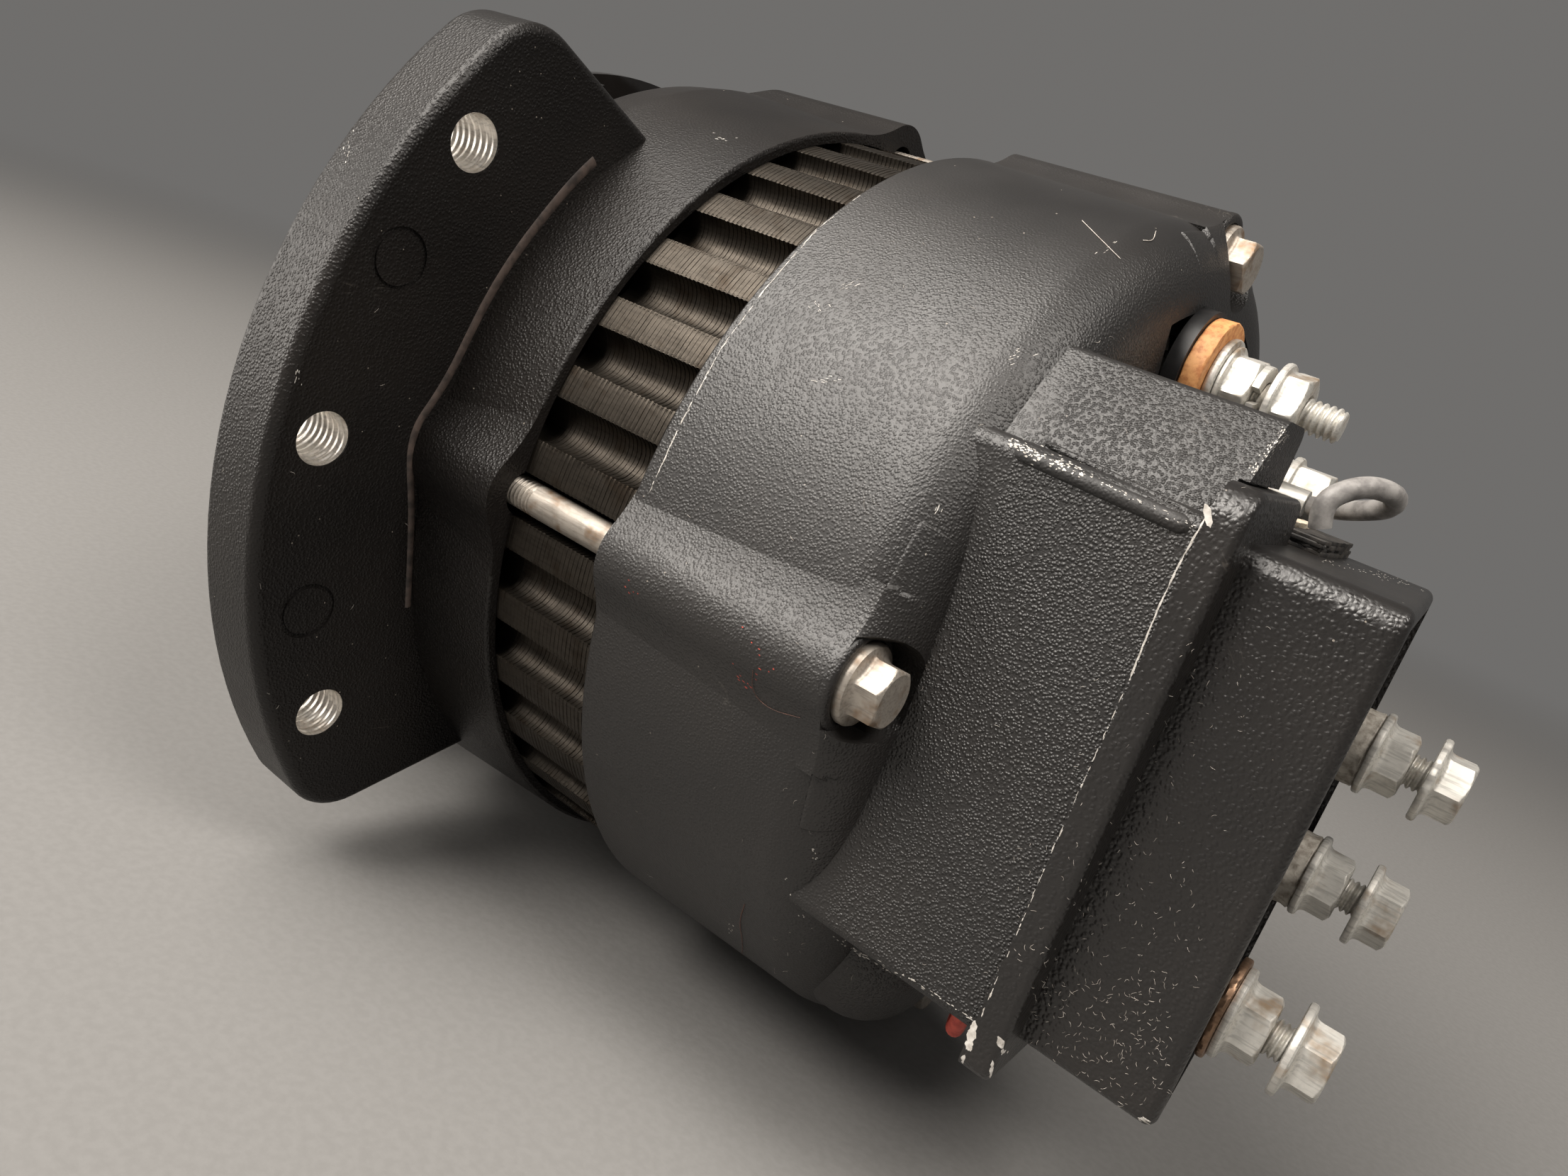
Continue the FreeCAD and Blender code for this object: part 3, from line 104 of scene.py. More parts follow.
# %% Node graph helper
class Graph:
    """Adds nodes to a node tree and joins them as they are made."""

    def __init__(self, tree):
        self.tree = tree

    def add(self, kind, sockets=None, **settings):
        """A new node of that kind, with its settings, and its sockets filled or linked."""
        made = self.tree.nodes.new(kind)
        for name, value in settings.items():
            setattr(made, name, value)
        for name, value in (sockets or {}).items():
            self.fill(made.inputs[name], value)
        return made

    def fill(self, socket, value):
        """Sets a socket to a number or colour, or links it to another socket."""
        if isinstance(value, bpy.types.NodeSocket):
            self.tree.links.new(value, socket)
        else:
            socket.default_value = value

    def math(self, operation, first, second=0.0, third=0.0):
        """The result of a Math node."""
        made = self.add("ShaderNodeMath", operation=operation)
        for socket, value in zip(made.inputs, (first, second, third)):
            self.fill(socket, value)
        return made.outputs[0]

    def vector(self, operation, first, second=(0.0, 0.0, 0.0), scale=1.0):
        """The vector result of a Vector Math node."""
        made = self.add("ShaderNodeVectorMath", operation=operation)
        self.fill(made.inputs[0], first)
        self.fill(made.inputs[1], second)
        if operation == "SCALE":
            self.fill(made.inputs["Scale"], scale)
        return made.outputs["Value" if operation in ("DISTANCE", "DOT_PRODUCT", "LENGTH") else 0]

    def noise(self, place, scale, detail=2.0, roughness=0.5, distortion=0.0, output="Fac"):
        """Noise at a place, in cycles a metre."""
        shape = {"Detail": detail, "Roughness": roughness, "Distortion": distortion}
        return self.add("ShaderNodeTexNoise", {"Vector": place, "Scale": scale, **shape}).outputs[output]

    def cells(self, place, scale):
        """The outputs of a Voronoi pattern at a place, in cells a metre."""
        return self.add("ShaderNodeTexVoronoi", {"Vector": place, "Scale": scale}, feature="F1").outputs

    def ramp(self, value, low, high, start=0.0, end=1.0):
        """A smooth step from start to end while value goes from low to high."""
        made = self.add(
            "ShaderNodeMapRange",
            {"Value": value, "From Min": low, "From Max": high, "To Min": start, "To Max": end},
            interpolation_type="SMOOTHSTEP",
        )
        return made.outputs["Result"]

    def mix(self, factor, first, second):
        """A colour between two colours."""
        made = self.add("ShaderNodeMix", {0: factor, 6: first, 7: second}, data_type="RGBA")
        return made.outputs[2]

    def place(self):
        """The place of the shaded point in the frame that all pieces share, in metres."""
        return self.add("ShaderNodeTexCoord").outputs["Object"]

    def group(self, tree, **sockets):
        """An effect from a node group, with values by socket name."""
        made = self.add("ShaderNodeGroup", node_tree=tree)
        for name, value in sockets.items():
            self.fill(made.inputs[name.replace("_", " ")], value)
        return made.outputs[0]

    def part(self, vector, axis):
        """One of the three numbers of a vector."""
        return self.add("ShaderNodeSeparateXYZ", {0: vector}).outputs[axis]

    def bump(self, height, distance):
        """A normal bent by a height, with the full height given in metres."""
        made = self.add("ShaderNodeBump", {"Height": height, "Distance": distance, "Strength": 1.0})
        return made.outputs[0]


def new_effect(name, inputs, output):
    """An empty node group with one output, and its graph, its given values and its result socket."""
    tree = bpy.data.node_groups.new(name, "ShaderNodeTree")
    for socket_name, kind, default in inputs:
        socket = tree.interface.new_socket(socket_name, in_out="INPUT", socket_type=kind)
        if default is not None:
            socket.default_value = default
    tree.interface.new_socket(output, in_out="OUTPUT", socket_type="NodeSocketFloat")
    graph = Graph(tree)
    given = graph.add("NodeGroupInput").outputs
    result = graph.add("NodeGroupOutput").inputs[0]
    return tree, graph, given, result


VECTOR = "NodeSocketVector"
FLOAT = "NodeSocketFloat"


def srgb(red, green, blue):
    """A colour given as a screen shows it, 0 to 255, as the linear colour that a shader takes."""
    linear = []
    for part in (red, green, blue):
        linear.append(((part / 255 + 0.055) / 1.055) ** 2.4 if part > 10 else part / 3294)
    return (*linear, 1.0)


def shaded(colour, share):
    """A share of a colour, with its alpha as it is."""
    return (*[part * share for part in colour[:3]], 1.0)


def new_material(name, **constants):
    """A material with its graph and its Principled shader, whose plain values are set here."""
    made = bpy.data.materials.new(name)
    made.use_nodes = True
    graph = Graph(made.node_tree)
    shader = made.node_tree.nodes["Principled BSDF"]
    for socket_name, value in constants.items():
        shader.inputs[socket_name.replace("_", " ")].default_value = value
    return made, graph, shader


def dress(graph, shader, colour, roughness, height, relief):
    """Feeds a shader with a colour, a roughness and a height, with the full height in metres."""
    graph.fill(shader.inputs["Base Color"], colour)
    graph.fill(shader.inputs["Roughness"], roughness)
    graph.fill(shader.inputs["Normal"], graph.bump(height, relief))


# %% [markdown]
# ## Effects that several finishes share
# Powder coat flows into soft lumps as it bakes, which is called orange peel. Noise alone looks like
# sand, so the lumps come from the distance to cell middles, eased so that their tops and feet are
# round, with finer lumps over them.

# %% Orange peel
BENDS_A_LUMP = 0.6
BEND_SIZE = 0.6
LUMP_TOP = 0.08
LUMP_FOOT = 0.7
FINE_A_LUMP = 1.7
orange_peel, graph, given, result = new_effect(
    "orange peel", [("Place", VECTOR, None), ("Grain", FLOAT, 0.0009), ("Fine", FLOAT, 0.5)], "Height"
)
per_metre = graph.math("DIVIDE", 1.0, given["Grain"])
bent = graph.noise(given["Place"], graph.math("MULTIPLY", per_metre, BENDS_A_LUMP), 1.0, output="Color")
moved = graph.vector("SCALE", bent, scale=graph.math("MULTIPLY", given["Grain"], BEND_SIZE))
distance = graph.cells(graph.vector("ADD", given["Place"], moved), per_metre)["Distance"]
lumps = graph.ramp(distance, LUMP_TOP, LUMP_FOOT, 1.0, 0.0)
fine = graph.noise(given["Place"], graph.math("MULTIPLY", per_metre, FINE_A_LUMP), 1.0)
graph.fill(result, graph.math("MULTIPLY_ADD", fine, given["Fine"], lumps))
print("effect", orange_peel.name)

# %% [markdown]
# Dust lies as specks of many sizes, thicker in some places than in others. A cell pattern gives
# one speck a cell, and a slow noise decides which cells have one.

# %% Dust specks
DRIFTS_A_METRE = 55.0
SPECK_RADIUS = 0.05
SPECK_SPREAD = 0.22
dust_specks, graph, given, result = new_effect(
    "dust specks", [("Place", VECTOR, None), ("Spacing", FLOAT, 0.002), ("Amount", FLOAT, 0.4)], "Mask"
)
per_metre = graph.math("DIVIDE", 1.0, given["Spacing"])
speck = graph.cells(given["Place"], per_metre)
size = graph.add("ShaderNodeSeparateColor", {"Color": speck["Color"]}).outputs[0]
drift = graph.noise(given["Place"], DRIFTS_A_METRE, 3.0)
share = graph.math("MULTIPLY", given["Amount"], graph.ramp(drift, 0.35, 0.7))
radius = graph.math("MULTIPLY_ADD", size, SPECK_SPREAD, SPECK_RADIUS)
inside = graph.math("LESS_THAN", speck["Distance"], radius)
graph.fill(result, graph.math("MULTIPLY", graph.math("GREATER_THAN", share, size), inside))
print("effect", dust_specks.name)

# %% [markdown]
# Handling leaves short bright scratches in all directions. Noise stretched along a turned axis gives
# thin lines, and a second noise lets only a few of them show.

# %% Scratches
SCRATCH_STRETCH = (1.0, 0.05, 0.2)
SCRATCH_WIDTH = 0.012
WORN_SPOTS_A_METRE = 75.0
scratches, graph, given, result = new_effect(
    "scratches",
    [("Place", VECTOR, None), ("Turn", VECTOR, (0.0, 0.0, 0.0)), ("Fineness", FLOAT, 900.0),
     ("Share", FLOAT, 0.5)],
    "Mask",
)
turn = {"Vector": given["Place"], "Rotation": given["Turn"]}
turned = graph.add("ShaderNodeVectorRotate", turn, rotation_type="EULER_XYZ")
stretched = graph.vector("MULTIPLY", turned.outputs[0], SCRATCH_STRETCH)
lines = graph.noise(stretched, given["Fineness"], 1.0, 0.5, 0.3)
thin = graph.ramp(graph.math("ABSOLUTE", graph.math("SUBTRACT", lines, 0.5)), 0.0, SCRATCH_WIDTH, 1.0, 0.0)
worn = graph.noise(given["Place"], WORN_SPOTS_A_METRE, 2.0)
where = graph.ramp(worn, graph.math("SUBTRACT", 1.0, given["Share"]), 0.8)
graph.fill(result, graph.math("MULTIPLY", thin, where))
print("effect", scratches.name)

# %% [markdown]
# ## Finishes
# The black coat is nearly black itself: what makes it look grey is the soft light that its lumps
# scatter. So its colour stays dark, and its roughness and lumps carry the look. The lumps are taller
# at the rear, on the pedestal and the regulator's case, and nearly gone on faces that look up. A
# little wear shows as pale specks and scratches.


# %% Black powder coat
COAT_COLOUR = srgb(20, 18, 17)
COAT_PATCHES = srgb(29, 26, 24)
DUST_COLOUR = srgb(150, 142, 132)
DUST_SPACING = 0.0019
DUST_AMOUNT = 0.16
DUST_SHOWS = 0.8
SCRATCHES_SHOW = 0.35
PATCHES_A_METRE = 38.0
CLOUDS_A_METRE = 90.0
ROUGHNESS_SWING = 0.16
PEDESTAL_FROM = 0.08
PEDESTAL_TO = 0.084
PEDESTAL_HEIGHT = 2.2
UPWARD_FROM = 0.62
UPWARD_TO = 0.92
UPWARD_HEIGHT = 0.16


def black_coat(name, grain, relief, roughness, shine=0.7):
    """A black coat with its own size of grain and height of lumps, both in metres."""
    made, graph, shader = new_material(name, Specular_IOR_Level=shine)
    place = graph.place()
    patch = graph.noise(place, PATCHES_A_METRE, 3.0)
    colour = graph.mix(graph.ramp(patch, 0.3, 0.75), COAT_COLOUR, COAT_PATCHES)
    specks = graph.group(dust_specks, Place=place, Spacing=DUST_SPACING, Amount=DUST_AMOUNT)
    marks = graph.group(scratches, Place=place, Turn=(0.4, 0.9, 0.3), Fineness=700.0, Share=0.33)
    colour = graph.mix(graph.math("MULTIPLY", specks, DUST_SHOWS), colour, DUST_COLOUR)
    colour = graph.mix(graph.math("MULTIPLY", marks, SCRATCHES_SHOW), colour, DUST_COLOUR)
    lumps = graph.group(orange_peel, Place=place, Grain=grain)
    taller = graph.ramp(graph.part(place, "X"), PEDESTAL_FROM, PEDESTAL_TO, 1.0, PEDESTAL_HEIGHT)
    upward = graph.part(graph.add("ShaderNodeNewGeometry").outputs["True Normal"], "Z")
    flatter = graph.ramp(upward, UPWARD_FROM, UPWARD_TO, 1.0, UPWARD_HEIGHT)
    height = graph.math("MULTIPLY", lumps, graph.math("MULTIPLY", taller, flatter))
    clouds = graph.noise(place, CLOUDS_A_METRE, 3.0)
    rough = graph.math("MULTIPLY_ADD", clouds, ROUGHNESS_SWING, roughness - ROUGHNESS_SWING / 2)
    dress(graph, shader, colour, rough, height, relief)
    return made


coat_front = black_coat("coat_on_drive_end", 0.00045, 0.00007, 0.42, 0.32)
coat_rear = black_coat("coat_on_rear_housing", 0.0004, 0.000055, 0.47, 0.7)
coat_edge = black_coat("coat_on_rolled_edge", 0.00044, 0.00002, 0.62, 0.7)
regulator_coat = black_coat("coat_on_regulator", 0.0006, 0.00003, 0.36)
print("coats", coat_front.name, coat_rear.name, coat_edge.name, regulator_coat.name)

# %% [markdown]
# Zinc plate turns dull and chalky with age, so it is only partly metallic. A cloudy film, fine lines
# drawn along the nuts and brownish stains keep it from looking like a mirror.


# %% Metals
def metal(name, colour, roughness, stain, cloud=0.22, relief=0.00002, metallic=1.0):
    """A worn metal, cloudy, drawn along the rotor axis, and stained in patches."""
    made, graph, shader = new_material(name, Metallic=metallic)
    place = graph.place()
    film = graph.noise(place, 520.0, 4.0, 0.6)
    drawn = graph.noise(graph.vector("MULTIPLY", place, (0.1, 1.0, 1.0)), 2600.0, 2.0)
    patches = graph.noise(place, 210.0, 3.0, 0.6)
    shade = graph.mix(graph.ramp(film, 0.4, 0.8), colour, shaded(colour, 0.75))
    shade = graph.mix(graph.ramp(patches, 0.5, 0.72), shade, stain)
    lined = graph.math("MULTIPLY", graph.ramp(drawn, 0.45, 0.7), 0.5)
    shade = graph.mix(lined, shade, shaded(colour, 0.45))
    rough = graph.math("MULTIPLY_ADD", film, cloud, roughness - cloud / 2)
    rough = graph.math("MULTIPLY_ADD", patches, 0.12, rough)
    dress(graph, shader, shade, rough, graph.math("MULTIPLY_ADD", drawn, 0.6, film), relief)
    return made


zinc = metal("zinc_plate", srgb(214, 211, 204), 0.42, srgb(158, 138, 116), 0.24, 0.00003, 0.6)
bolt_plate = metal("bolt_plate", srgb(176, 168, 158), 0.42, srgb(126, 100, 74), 0.3, 0.00004, 0.6)
steel = metal("machined_steel", srgb(168, 166, 162), 0.32, srgb(130, 122, 112))
aluminium = metal("bare_aluminium", srgb(236, 232, 226), 0.36, srgb(206, 196, 184))
copper = metal("varnished_copper", srgb(150, 84, 52), 0.35, srgb(112, 58, 38))
tarnished = metal("tarnished_copper", srgb(150, 122, 100), 0.42, srgb(110, 84, 66))
varnish = metal("varnished_sheets", srgb(74, 69, 63), 0.42, srgb(58, 51, 44))
print("metals", zinc.name, bolt_plate.name, steel.name, aluminium.name, copper.name, tarnished.name)

# %% [markdown]
# Resin, rubber, cork, fibre, carbon and cable sheath are dull and differ in their colour, mottling
# and relief. One recipe with its own numbers does for all of them. The fan is glossy instead: it has
# the black coat with wide, low lumps.


# %% Dull finishes
def dull(name, colour, second, roughness, mottle, relief):
    """A dull finish that goes between two colours, with mottling so many times a metre."""
    made, graph, shader = new_material(name, Specular_IOR_Level=0.4)
    place = graph.place()
    spots = graph.noise(place, mottle, 4.0, 0.6)
    shade = graph.mix(graph.ramp(spots, 0.35, 0.7), colour, second)
    dress(graph, shader, shade, graph.math("MULTIPLY_ADD", spots, 0.2, roughness - 0.1), spots, relief)
    return made


potting_finish = dull("potting_resin", srgb(34, 33, 33), srgb(48, 46, 44), 0.5, 300.0, 0.00005)
rubber_finish = dull("rubber", srgb(40, 39, 38), srgb(70, 66, 62), 0.65, 500.0, 0.0001)
cork_finish = dull("cork", srgb(214, 204, 186), srgb(168, 150, 122), 0.85, 900.0, 0.00012)
fibre_finish = dull("vulcanised_fibre", srgb(206, 150, 96), srgb(170, 108, 64), 0.55, 900.0, 0.00004)
insulator_finish = dull("phenolic", srgb(30, 30, 31), srgb(44, 42, 42), 0.4, 400.0, 0.00003)
grey_finish = dull("grey_sheath", srgb(146, 143, 140), srgb(104, 101, 99), 0.5, 380.0, 0.00012)
red_finish = dull("red_sheath", srgb(196, 84, 70), srgb(160, 58, 50), 0.5, 600.0, 0.00003)
spacer_finish = dull("cast_zinc", srgb(176, 170, 160), srgb(128, 120, 110), 0.6, 900.0, 0.00012)
carbon_finish = dull("carbon", srgb(50, 50, 50), srgb(70, 70, 70), 0.6, 900.0, 0.00003)
primer = dull("worn_edges", srgb(206, 202, 196), srgb(168, 162, 154), 0.5, 1200.0, 0.00002)
lint_finish = dull("lint", srgb(196, 190, 182), srgb(156, 148, 140), 0.8, 900.0, 0.00001)
hair_finish = dull("hair", srgb(112, 70, 54), srgb(84, 52, 42), 0.5, 900.0, 0.00001)
# A lighter coat for the line along the flange: its colour is a painted highlight.
painted_highlight_coat = dull("painted_highlight_coat", srgb(86, 74, 68), srgb(52, 46, 43), 0.5, 500.0, 0.00006)
gloss_finish = black_coat("gloss_paint_on_fan", 0.004, 0.00003, 0.14)

# %% [markdown]
# ## A finish for every solid
# Each solid of the CAD model gets its finish here, and a finer piece takes the place of some later.

# %% Give the finishes
FINISHES = {
    coat_front: "drive_end_housing",
    coat_rear: "rear_housing",
    regulator_coat: "regulator_case",
    zinc: (
        "regulator_inner_nuts regulator_outer_nuts regulator_studs regulator_screws regulator_spacers "
        "output_stud output_inner_nut output_lock_washer output_outer_nut output_washer field_nut "
        "field_stud field_lug through_bolts retainer_screws"
    ),
    steel: (
        "bearing_retainer front_bearing_outer_race front_bearing_inner_race front_bearing_balls "
        "rear_bearing_balls rear_bearing_outer_race rear_bearing_inner_race rotor_shaft front_claw_pole "
        "rear_claw_pole pulley fan_spacer shaft_key shaft_washer shaft_nut brush_spring_inner "
        "brush_spring_outer negative_heat_sink positive_heat_sink rectifier_diodes"
    ),
    varnish: "stator_core",
    copper: "stator_winding field_coil slip_rings regulator_copper_washer",
    potting_finish: "regulator_potting",
    rubber_finish: "regulator_rubber_pad",
    cork_finish: "regulator_cork_pad",
    fibre_finish: "output_fibre_washer",
    insulator_finish: "output_collar field_insulator brush_holder field_bobbin slip_ring_sleeve",
    grey_finish: "field_lead",
    red_finish: "red_lead",
    carbon_finish: "brush_inner brush_outer",
    gloss_finish: "fan",
}
for finish, names in FINISHES.items():
    for name in names.split():
        for index in range(len(nodes[name].material_slots)):
            nodes[name].material_slots[index].material = finish
        if not nodes[name].material_slots:
            nodes[name].data.materials.append(finish)
given_names = " ".join(FINISHES.values()).split()
print(len(given_names), "solids have a finish; without one:", sorted(set(nodes) - set(given_names)))

# %% [markdown]
# ## Building meshes row by row
# Nuts, threads, washers and sheet edges are forms that a row of places makes as it moves along and
# changes shape. So one function joins rows of places with faces, and each piece only says where its
# rows lie. That is easier to check than a chain of modifiers, and it gives true threads.

# %% Mesh helpers
MM = 0.001


def spot(x, y, z):
    """A place in metres from a place in millimetres."""
    return Vector((x * MM, y * MM, z * MM))


def around(x, radius, angle, y=0.0, z=0.0):
    """A place at a station and a radius about an axis along X, with the angle from -Y towards +Z."""
    turn = math.radians(angle)
    return spot(x, y - radius * math.cos(turn), z + radius * math.sin(turn))


def join_rows(bm, rows, closed=True, start_cap=False, end_cap=False):
    """Faces between rows of places, each of which goes once round the form, or across it if open."""
    made = [[bm.verts.new(place) for place in row] for row in rows]
    count = len(made[0])
    for low, high in zip(made, made[1:]):
        for i in range(count if closed else count - 1):
            j = (i + 1) % count
            bm.faces.new((low[i], low[j], high[j], high[i]))
    if start_cap:
        bm.faces.new(made[0])
    if end_cap:
        bm.faces.new(made[-1])


def new_piece(name, bm, finish, replaces=(), body="housing", crease=36.0):
    """A piece from a mesh in the making, smooth where faces meet gently and sharp elsewhere."""
    bmesh.ops.recalc_face_normals(bm, faces=bm.faces[:])
    for face in bm.faces:
        face.smooth = True
    for edge in bm.edges:
        edge.smooth = edge.calc_face_angle(0.0) < math.radians(crease)
    mesh = bpy.data.meshes.new(name)
    bm.to_mesh(mesh)
    bm.free()
    mesh.materials.append(finish)
    piece = bpy.data.objects.new(name, mesh)
    bpy.context.scene.collection.objects.link(piece)
    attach(piece, body)
    if replaces:
        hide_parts(*replaces)
    print(name, len(mesh.polygons), "faces")


def one_form(name, finish, slot, node, form, *sizes, crease=36.0):
    """A piece made of one form with these sizes, which takes the place of a solid."""
    bm = bmesh.new()
    form(bm, *sizes)
    new_piece(name, bm, finish, replaces=[node], crease=crease)


# %% [markdown]
# A turned form is a list of stations and radii. Hand-made and worn ones aren't quite round, so a few
# gentle waves round the edge can be added to the radius.


# %% Turned forms
def wobble(seed, size):
    """A function of the angle that adds eight gentle waves, together about as high as this size."""
    chance = random.Random(seed)
    waves = []
    for _ in range(8):
        waves.append((chance.randint(2, 19), chance.uniform(0.0, 360.0), chance.uniform(0.2, 1.0)))

    def height(angle):
        total = sum(part * math.sin(math.radians(turns * angle + phase)) for turns, phase, part in waves)
        return size * total / 4.0

    return height


def turned_form(bm, profile, y, z, steps=72, rough=0.0, seed=1):
    """A closed ring from (station, radius) pairs, the last of which joins the first."""
    waves = wobble(seed, rough)
    rows = []
    for x, radius in profile + profile[:1]:
        row = []
        for i in range(steps):
            angle = 360.0 * i / steps
            row.append(around(x, radius + waves(angle + 40.0 * x), angle, y, z))
        rows.append(row)
    join_rows(bm, rows)


def washer_profile(x0, x1, bore, radius, edge):
    """The section of a washer whose outer corners are rounded."""
    return [
        (x0, bore), (x0, radius - edge), (x0 + 0.3 * edge, radius - 0.3 * edge), (x0 + edge, radius),
        (x1 - edge, radius), (x1 - 0.3 * edge, radius - 0.3 * edge), (x1, radius - edge), (x1, bore),
    ]


# %% [markdown]
# ## Nuts and bolt heads
# A flange nut is cold-formed: its hexagon flows out of a round flange through a hollow curve, and the
# top corners are turned off by a cone. The hexagon's distance from its middle is known for every
# direction, so each row takes the smaller of the hexagon and the cone, and that gives the arcs where
# the cone meets the flats. The flange of a cheap nut is rough, so its radius wobbles.


# %% Hexagon with a flange
FLANGE_INSET = 0.75
HOLLOW_HEIGHT = 0.9
CONE_HEIGHT = 0.55
TOP_SHARE = 0.47


def hexagon(angle, flats):
    """Distance from a hexagon's middle to its side, in the direction of the angle."""
    off = (angle + 30.0) % 60.0 - 30.0
    return 0.5 * flats / math.cos(math.radians(off))


def flanged_hexagon(bm, x, y, z, flats, flange, height, turn, bore, rim, rough=0.0, seed=1, steps=96):
    """A flange nut, or a bolt head where bore is 0, that stands on station x."""
    waves = wobble(seed, rough)
    corner = hexagon(30.0, flats)
    outer = 0.5 * flange
    hollow = outer - FLANGE_INSET

    def row(offset, measure):
        places = []
        for i in range(steps):
            angle = 360.0 * i / steps
            places.append(around(x + offset, measure(angle), angle + 30.0 - turn, y, z))
        return places

    rows = [row(0.0, lambda angle: max(0.5 * bore, 0.4))]
    rows.append(row(0.0, lambda angle: outer - 0.4 + waves(angle)))
    for offset, inset in ((0.12, 0.12), (0.4, 0.0), (0.75 * rim, 0.03), (0.95 * rim, 0.22), (rim, 0.5)):
        rows.append(row(offset, lambda angle, inset=inset: outer - inset + waves(angle)))
    for i in range(1, 6):
        share = math.radians(18.0 * i)
        offset = rim + 0.08 + HOLLOW_HEIGHT * (1.0 - math.cos(share))
        rows.append(row(offset, lambda angle, share=share:
                        hollow + (hexagon(angle, flats) - hollow) * math.sin(share)))
    for i in range(6):
        offset = height - CONE_HEIGHT * (1.0 - i / 5.0)
        limit = corner - (corner - TOP_SHARE * flats) * (i / 5.0) ** 1.25
        rows.append(row(offset, lambda angle, limit=limit: min(hexagon(angle, flats), limit)))
    if bore:
        rows.append(row(height, lambda angle: 0.5 * bore + 0.4))
        rows.append(row(height - 0.45, lambda angle: 0.5 * bore))
        rows.append(row(0.3, lambda angle: 0.5 * bore))
        join_rows(bm, rows)
    else:
        for share, rise in ((0.8, 0.1), (0.55, 0.16), (0.3, 0.18), (0.08, 0.18)):
            rows.append(row(height + rise - 0.18, lambda angle, share=share: TOP_SHARE * flats * share))
        join_rows(bm, rows, end_cap=True)


# %% [markdown]
# ## Threads
# A thread seen from the side is a row of crests that lean. Rings would show that they don't climb, so
# the radius here follows the helix: it depends on how far a place is along the rod less its share of
# a turn. The crest is rounded, as plating leaves it, and the rod's end is blunt.


# %% Threaded rod
ROWS_A_TURN = 9


def threaded_rod(bm, x0, x1, radius, pitch, depth, y=0.0, z=0.0, steps=32, blunt=0.5):
    """A rod with a helical thread from x0 to its blunt end at x1."""
    count = max(2, int(round((x1 - x0) / pitch * ROWS_A_TURN)))
    rows = []
    for k in range(count + 1):
        x = x0 + (x1 - x0) * k / count
        row = []
        for i in range(steps):
            phase = (x / pitch - i / steps) % 1.0
            groove = (0.5 + 0.5 * math.cos(2.0 * math.pi * phase)) ** 1.3
            limit = radius - max(0.0, blunt - (x1 - x))
            row.append(around(x, min(radius - depth * groove, limit), 360.0 * i / steps, y, z))
        rows.append(row)
    join_rows(bm, rows, start_cap=True, end_cap=True)


def plain_rod(bm, x0, x1, radius, y=0.0, z=0.0, steps=32):
    """A smooth rod whose ends are a little broken."""
    stations = ((x0, radius - 0.2), (x0 + 0.2, radius), (x1 - 0.2, radius), (x1, radius - 0.2))
    rows = [[around(x, r, 360.0 * i / steps, y, z) for i in range(steps)] for x, r in stations]
    join_rows(bm, rows, start_cap=True, end_cap=True)


# %% [markdown]
# ## The stator's sheets
# The stator is a stack of sheets about 0.8 mm thick, varnished black, and its outside has 36 round
# grooves. The sheets never line up exactly, so the stack shows fine lines along the lands and curved
# lines in the grooves. A skin over the CAD core carries them: each sheet has rows of its own with
# broken edges, is a hair larger or smaller than its neighbours and is turned by a hair.

# %% Stator sheets
SHEETS_FROM = 16.93
SHEETS_TO = 38.47
SHEET_COUNT = 27
GROOVE_COUNT = 36
LAND_RADIUS = 66.5
GROOVE_HALF_ANGLE = 2.9
GROOVE_DEPTH = 3.9
GROOVE_STEPS = 14
LAND_STEPS = 3
LAND_INSET = 0.12
SHEET_GROWS = 0.07
GAP_GROWS = -0.32
SHEET_SHARES = ((0.03, 0), (0.28, 1), (0.74, 1), (0.97, 0))
half_width = LAND_RADIUS * math.sin(math.radians(GROOVE_HALF_ANGLE))
rise = GROOVE_DEPTH - LAND_RADIUS * (1.0 - math.cos(math.radians(GROOVE_HALF_ANGLE)))
GROOVE_RADIUS = (half_width ** 2 + rise ** 2) / (2.0 * rise)
GROOVE_MIDDLE = LAND_RADIUS - GROOVE_DEPTH + GROOVE_RADIUS
print("groove radius", round(GROOVE_RADIUS, 2), "mm about", round(GROOVE_MIDDLE, 2), "mm from the axis")


def sheet_outline(x, grow, shift):
    """One sheet's outline: for each groove its round hollow, and then the land beside it."""
    lip = LAND_RADIUS * math.cos(math.radians(GROOVE_HALF_ANGLE)) - GROOVE_MIDDLE
    opening = math.degrees(math.acos(lip / GROOVE_RADIUS))
    land = 360.0 / GROOVE_COUNT - 2.0 * GROOVE_HALF_ANGLE - 2.0 * LAND_INSET
    places = []
    for groove in range(GROOVE_COUNT):
        middle = 360.0 / GROOVE_COUNT * groove + shift
        centre = around(x, GROOVE_MIDDLE, middle)
        for i in range(GROOVE_STEPS + 1):
            direction = middle - opening - (360.0 - 2.0 * opening) * i / GROOVE_STEPS
            places.append(centre + around(0.0, GROOVE_RADIUS - grow, direction))
        for i in range(LAND_STEPS + 1):
            angle = middle + GROOVE_HALF_ANGLE + LAND_INSET + land * i / LAND_STEPS
            broken = 0.04 if i in (0, LAND_STEPS) else 0.0
            places.append(around(x, LAND_RADIUS + grow - broken, angle))
    return places


chance = random.Random(11)
thickness = (SHEETS_TO - SHEETS_FROM) / SHEET_COUNT
rows = []
for sheet in range(SHEET_COUNT):
    grow = SHEET_GROWS + chance.uniform(-0.02, 0.03)
    shift = chance.uniform(-0.02, 0.02)
    low = SHEETS_FROM + thickness * sheet
    for share, raised in SHEET_SHARES:
        rows.append(sheet_outline(low + share * thickness, grow if raised else GAP_GROWS, shift))
bm = bmesh.new()
join_rows(bm, rows)
new_piece("stator_sheets", bm, varnish, crease=50.0)

# %% [markdown]
# One groove holds the weld that ties the sheets together: a narrow bead with ripples where the
# torch paused.

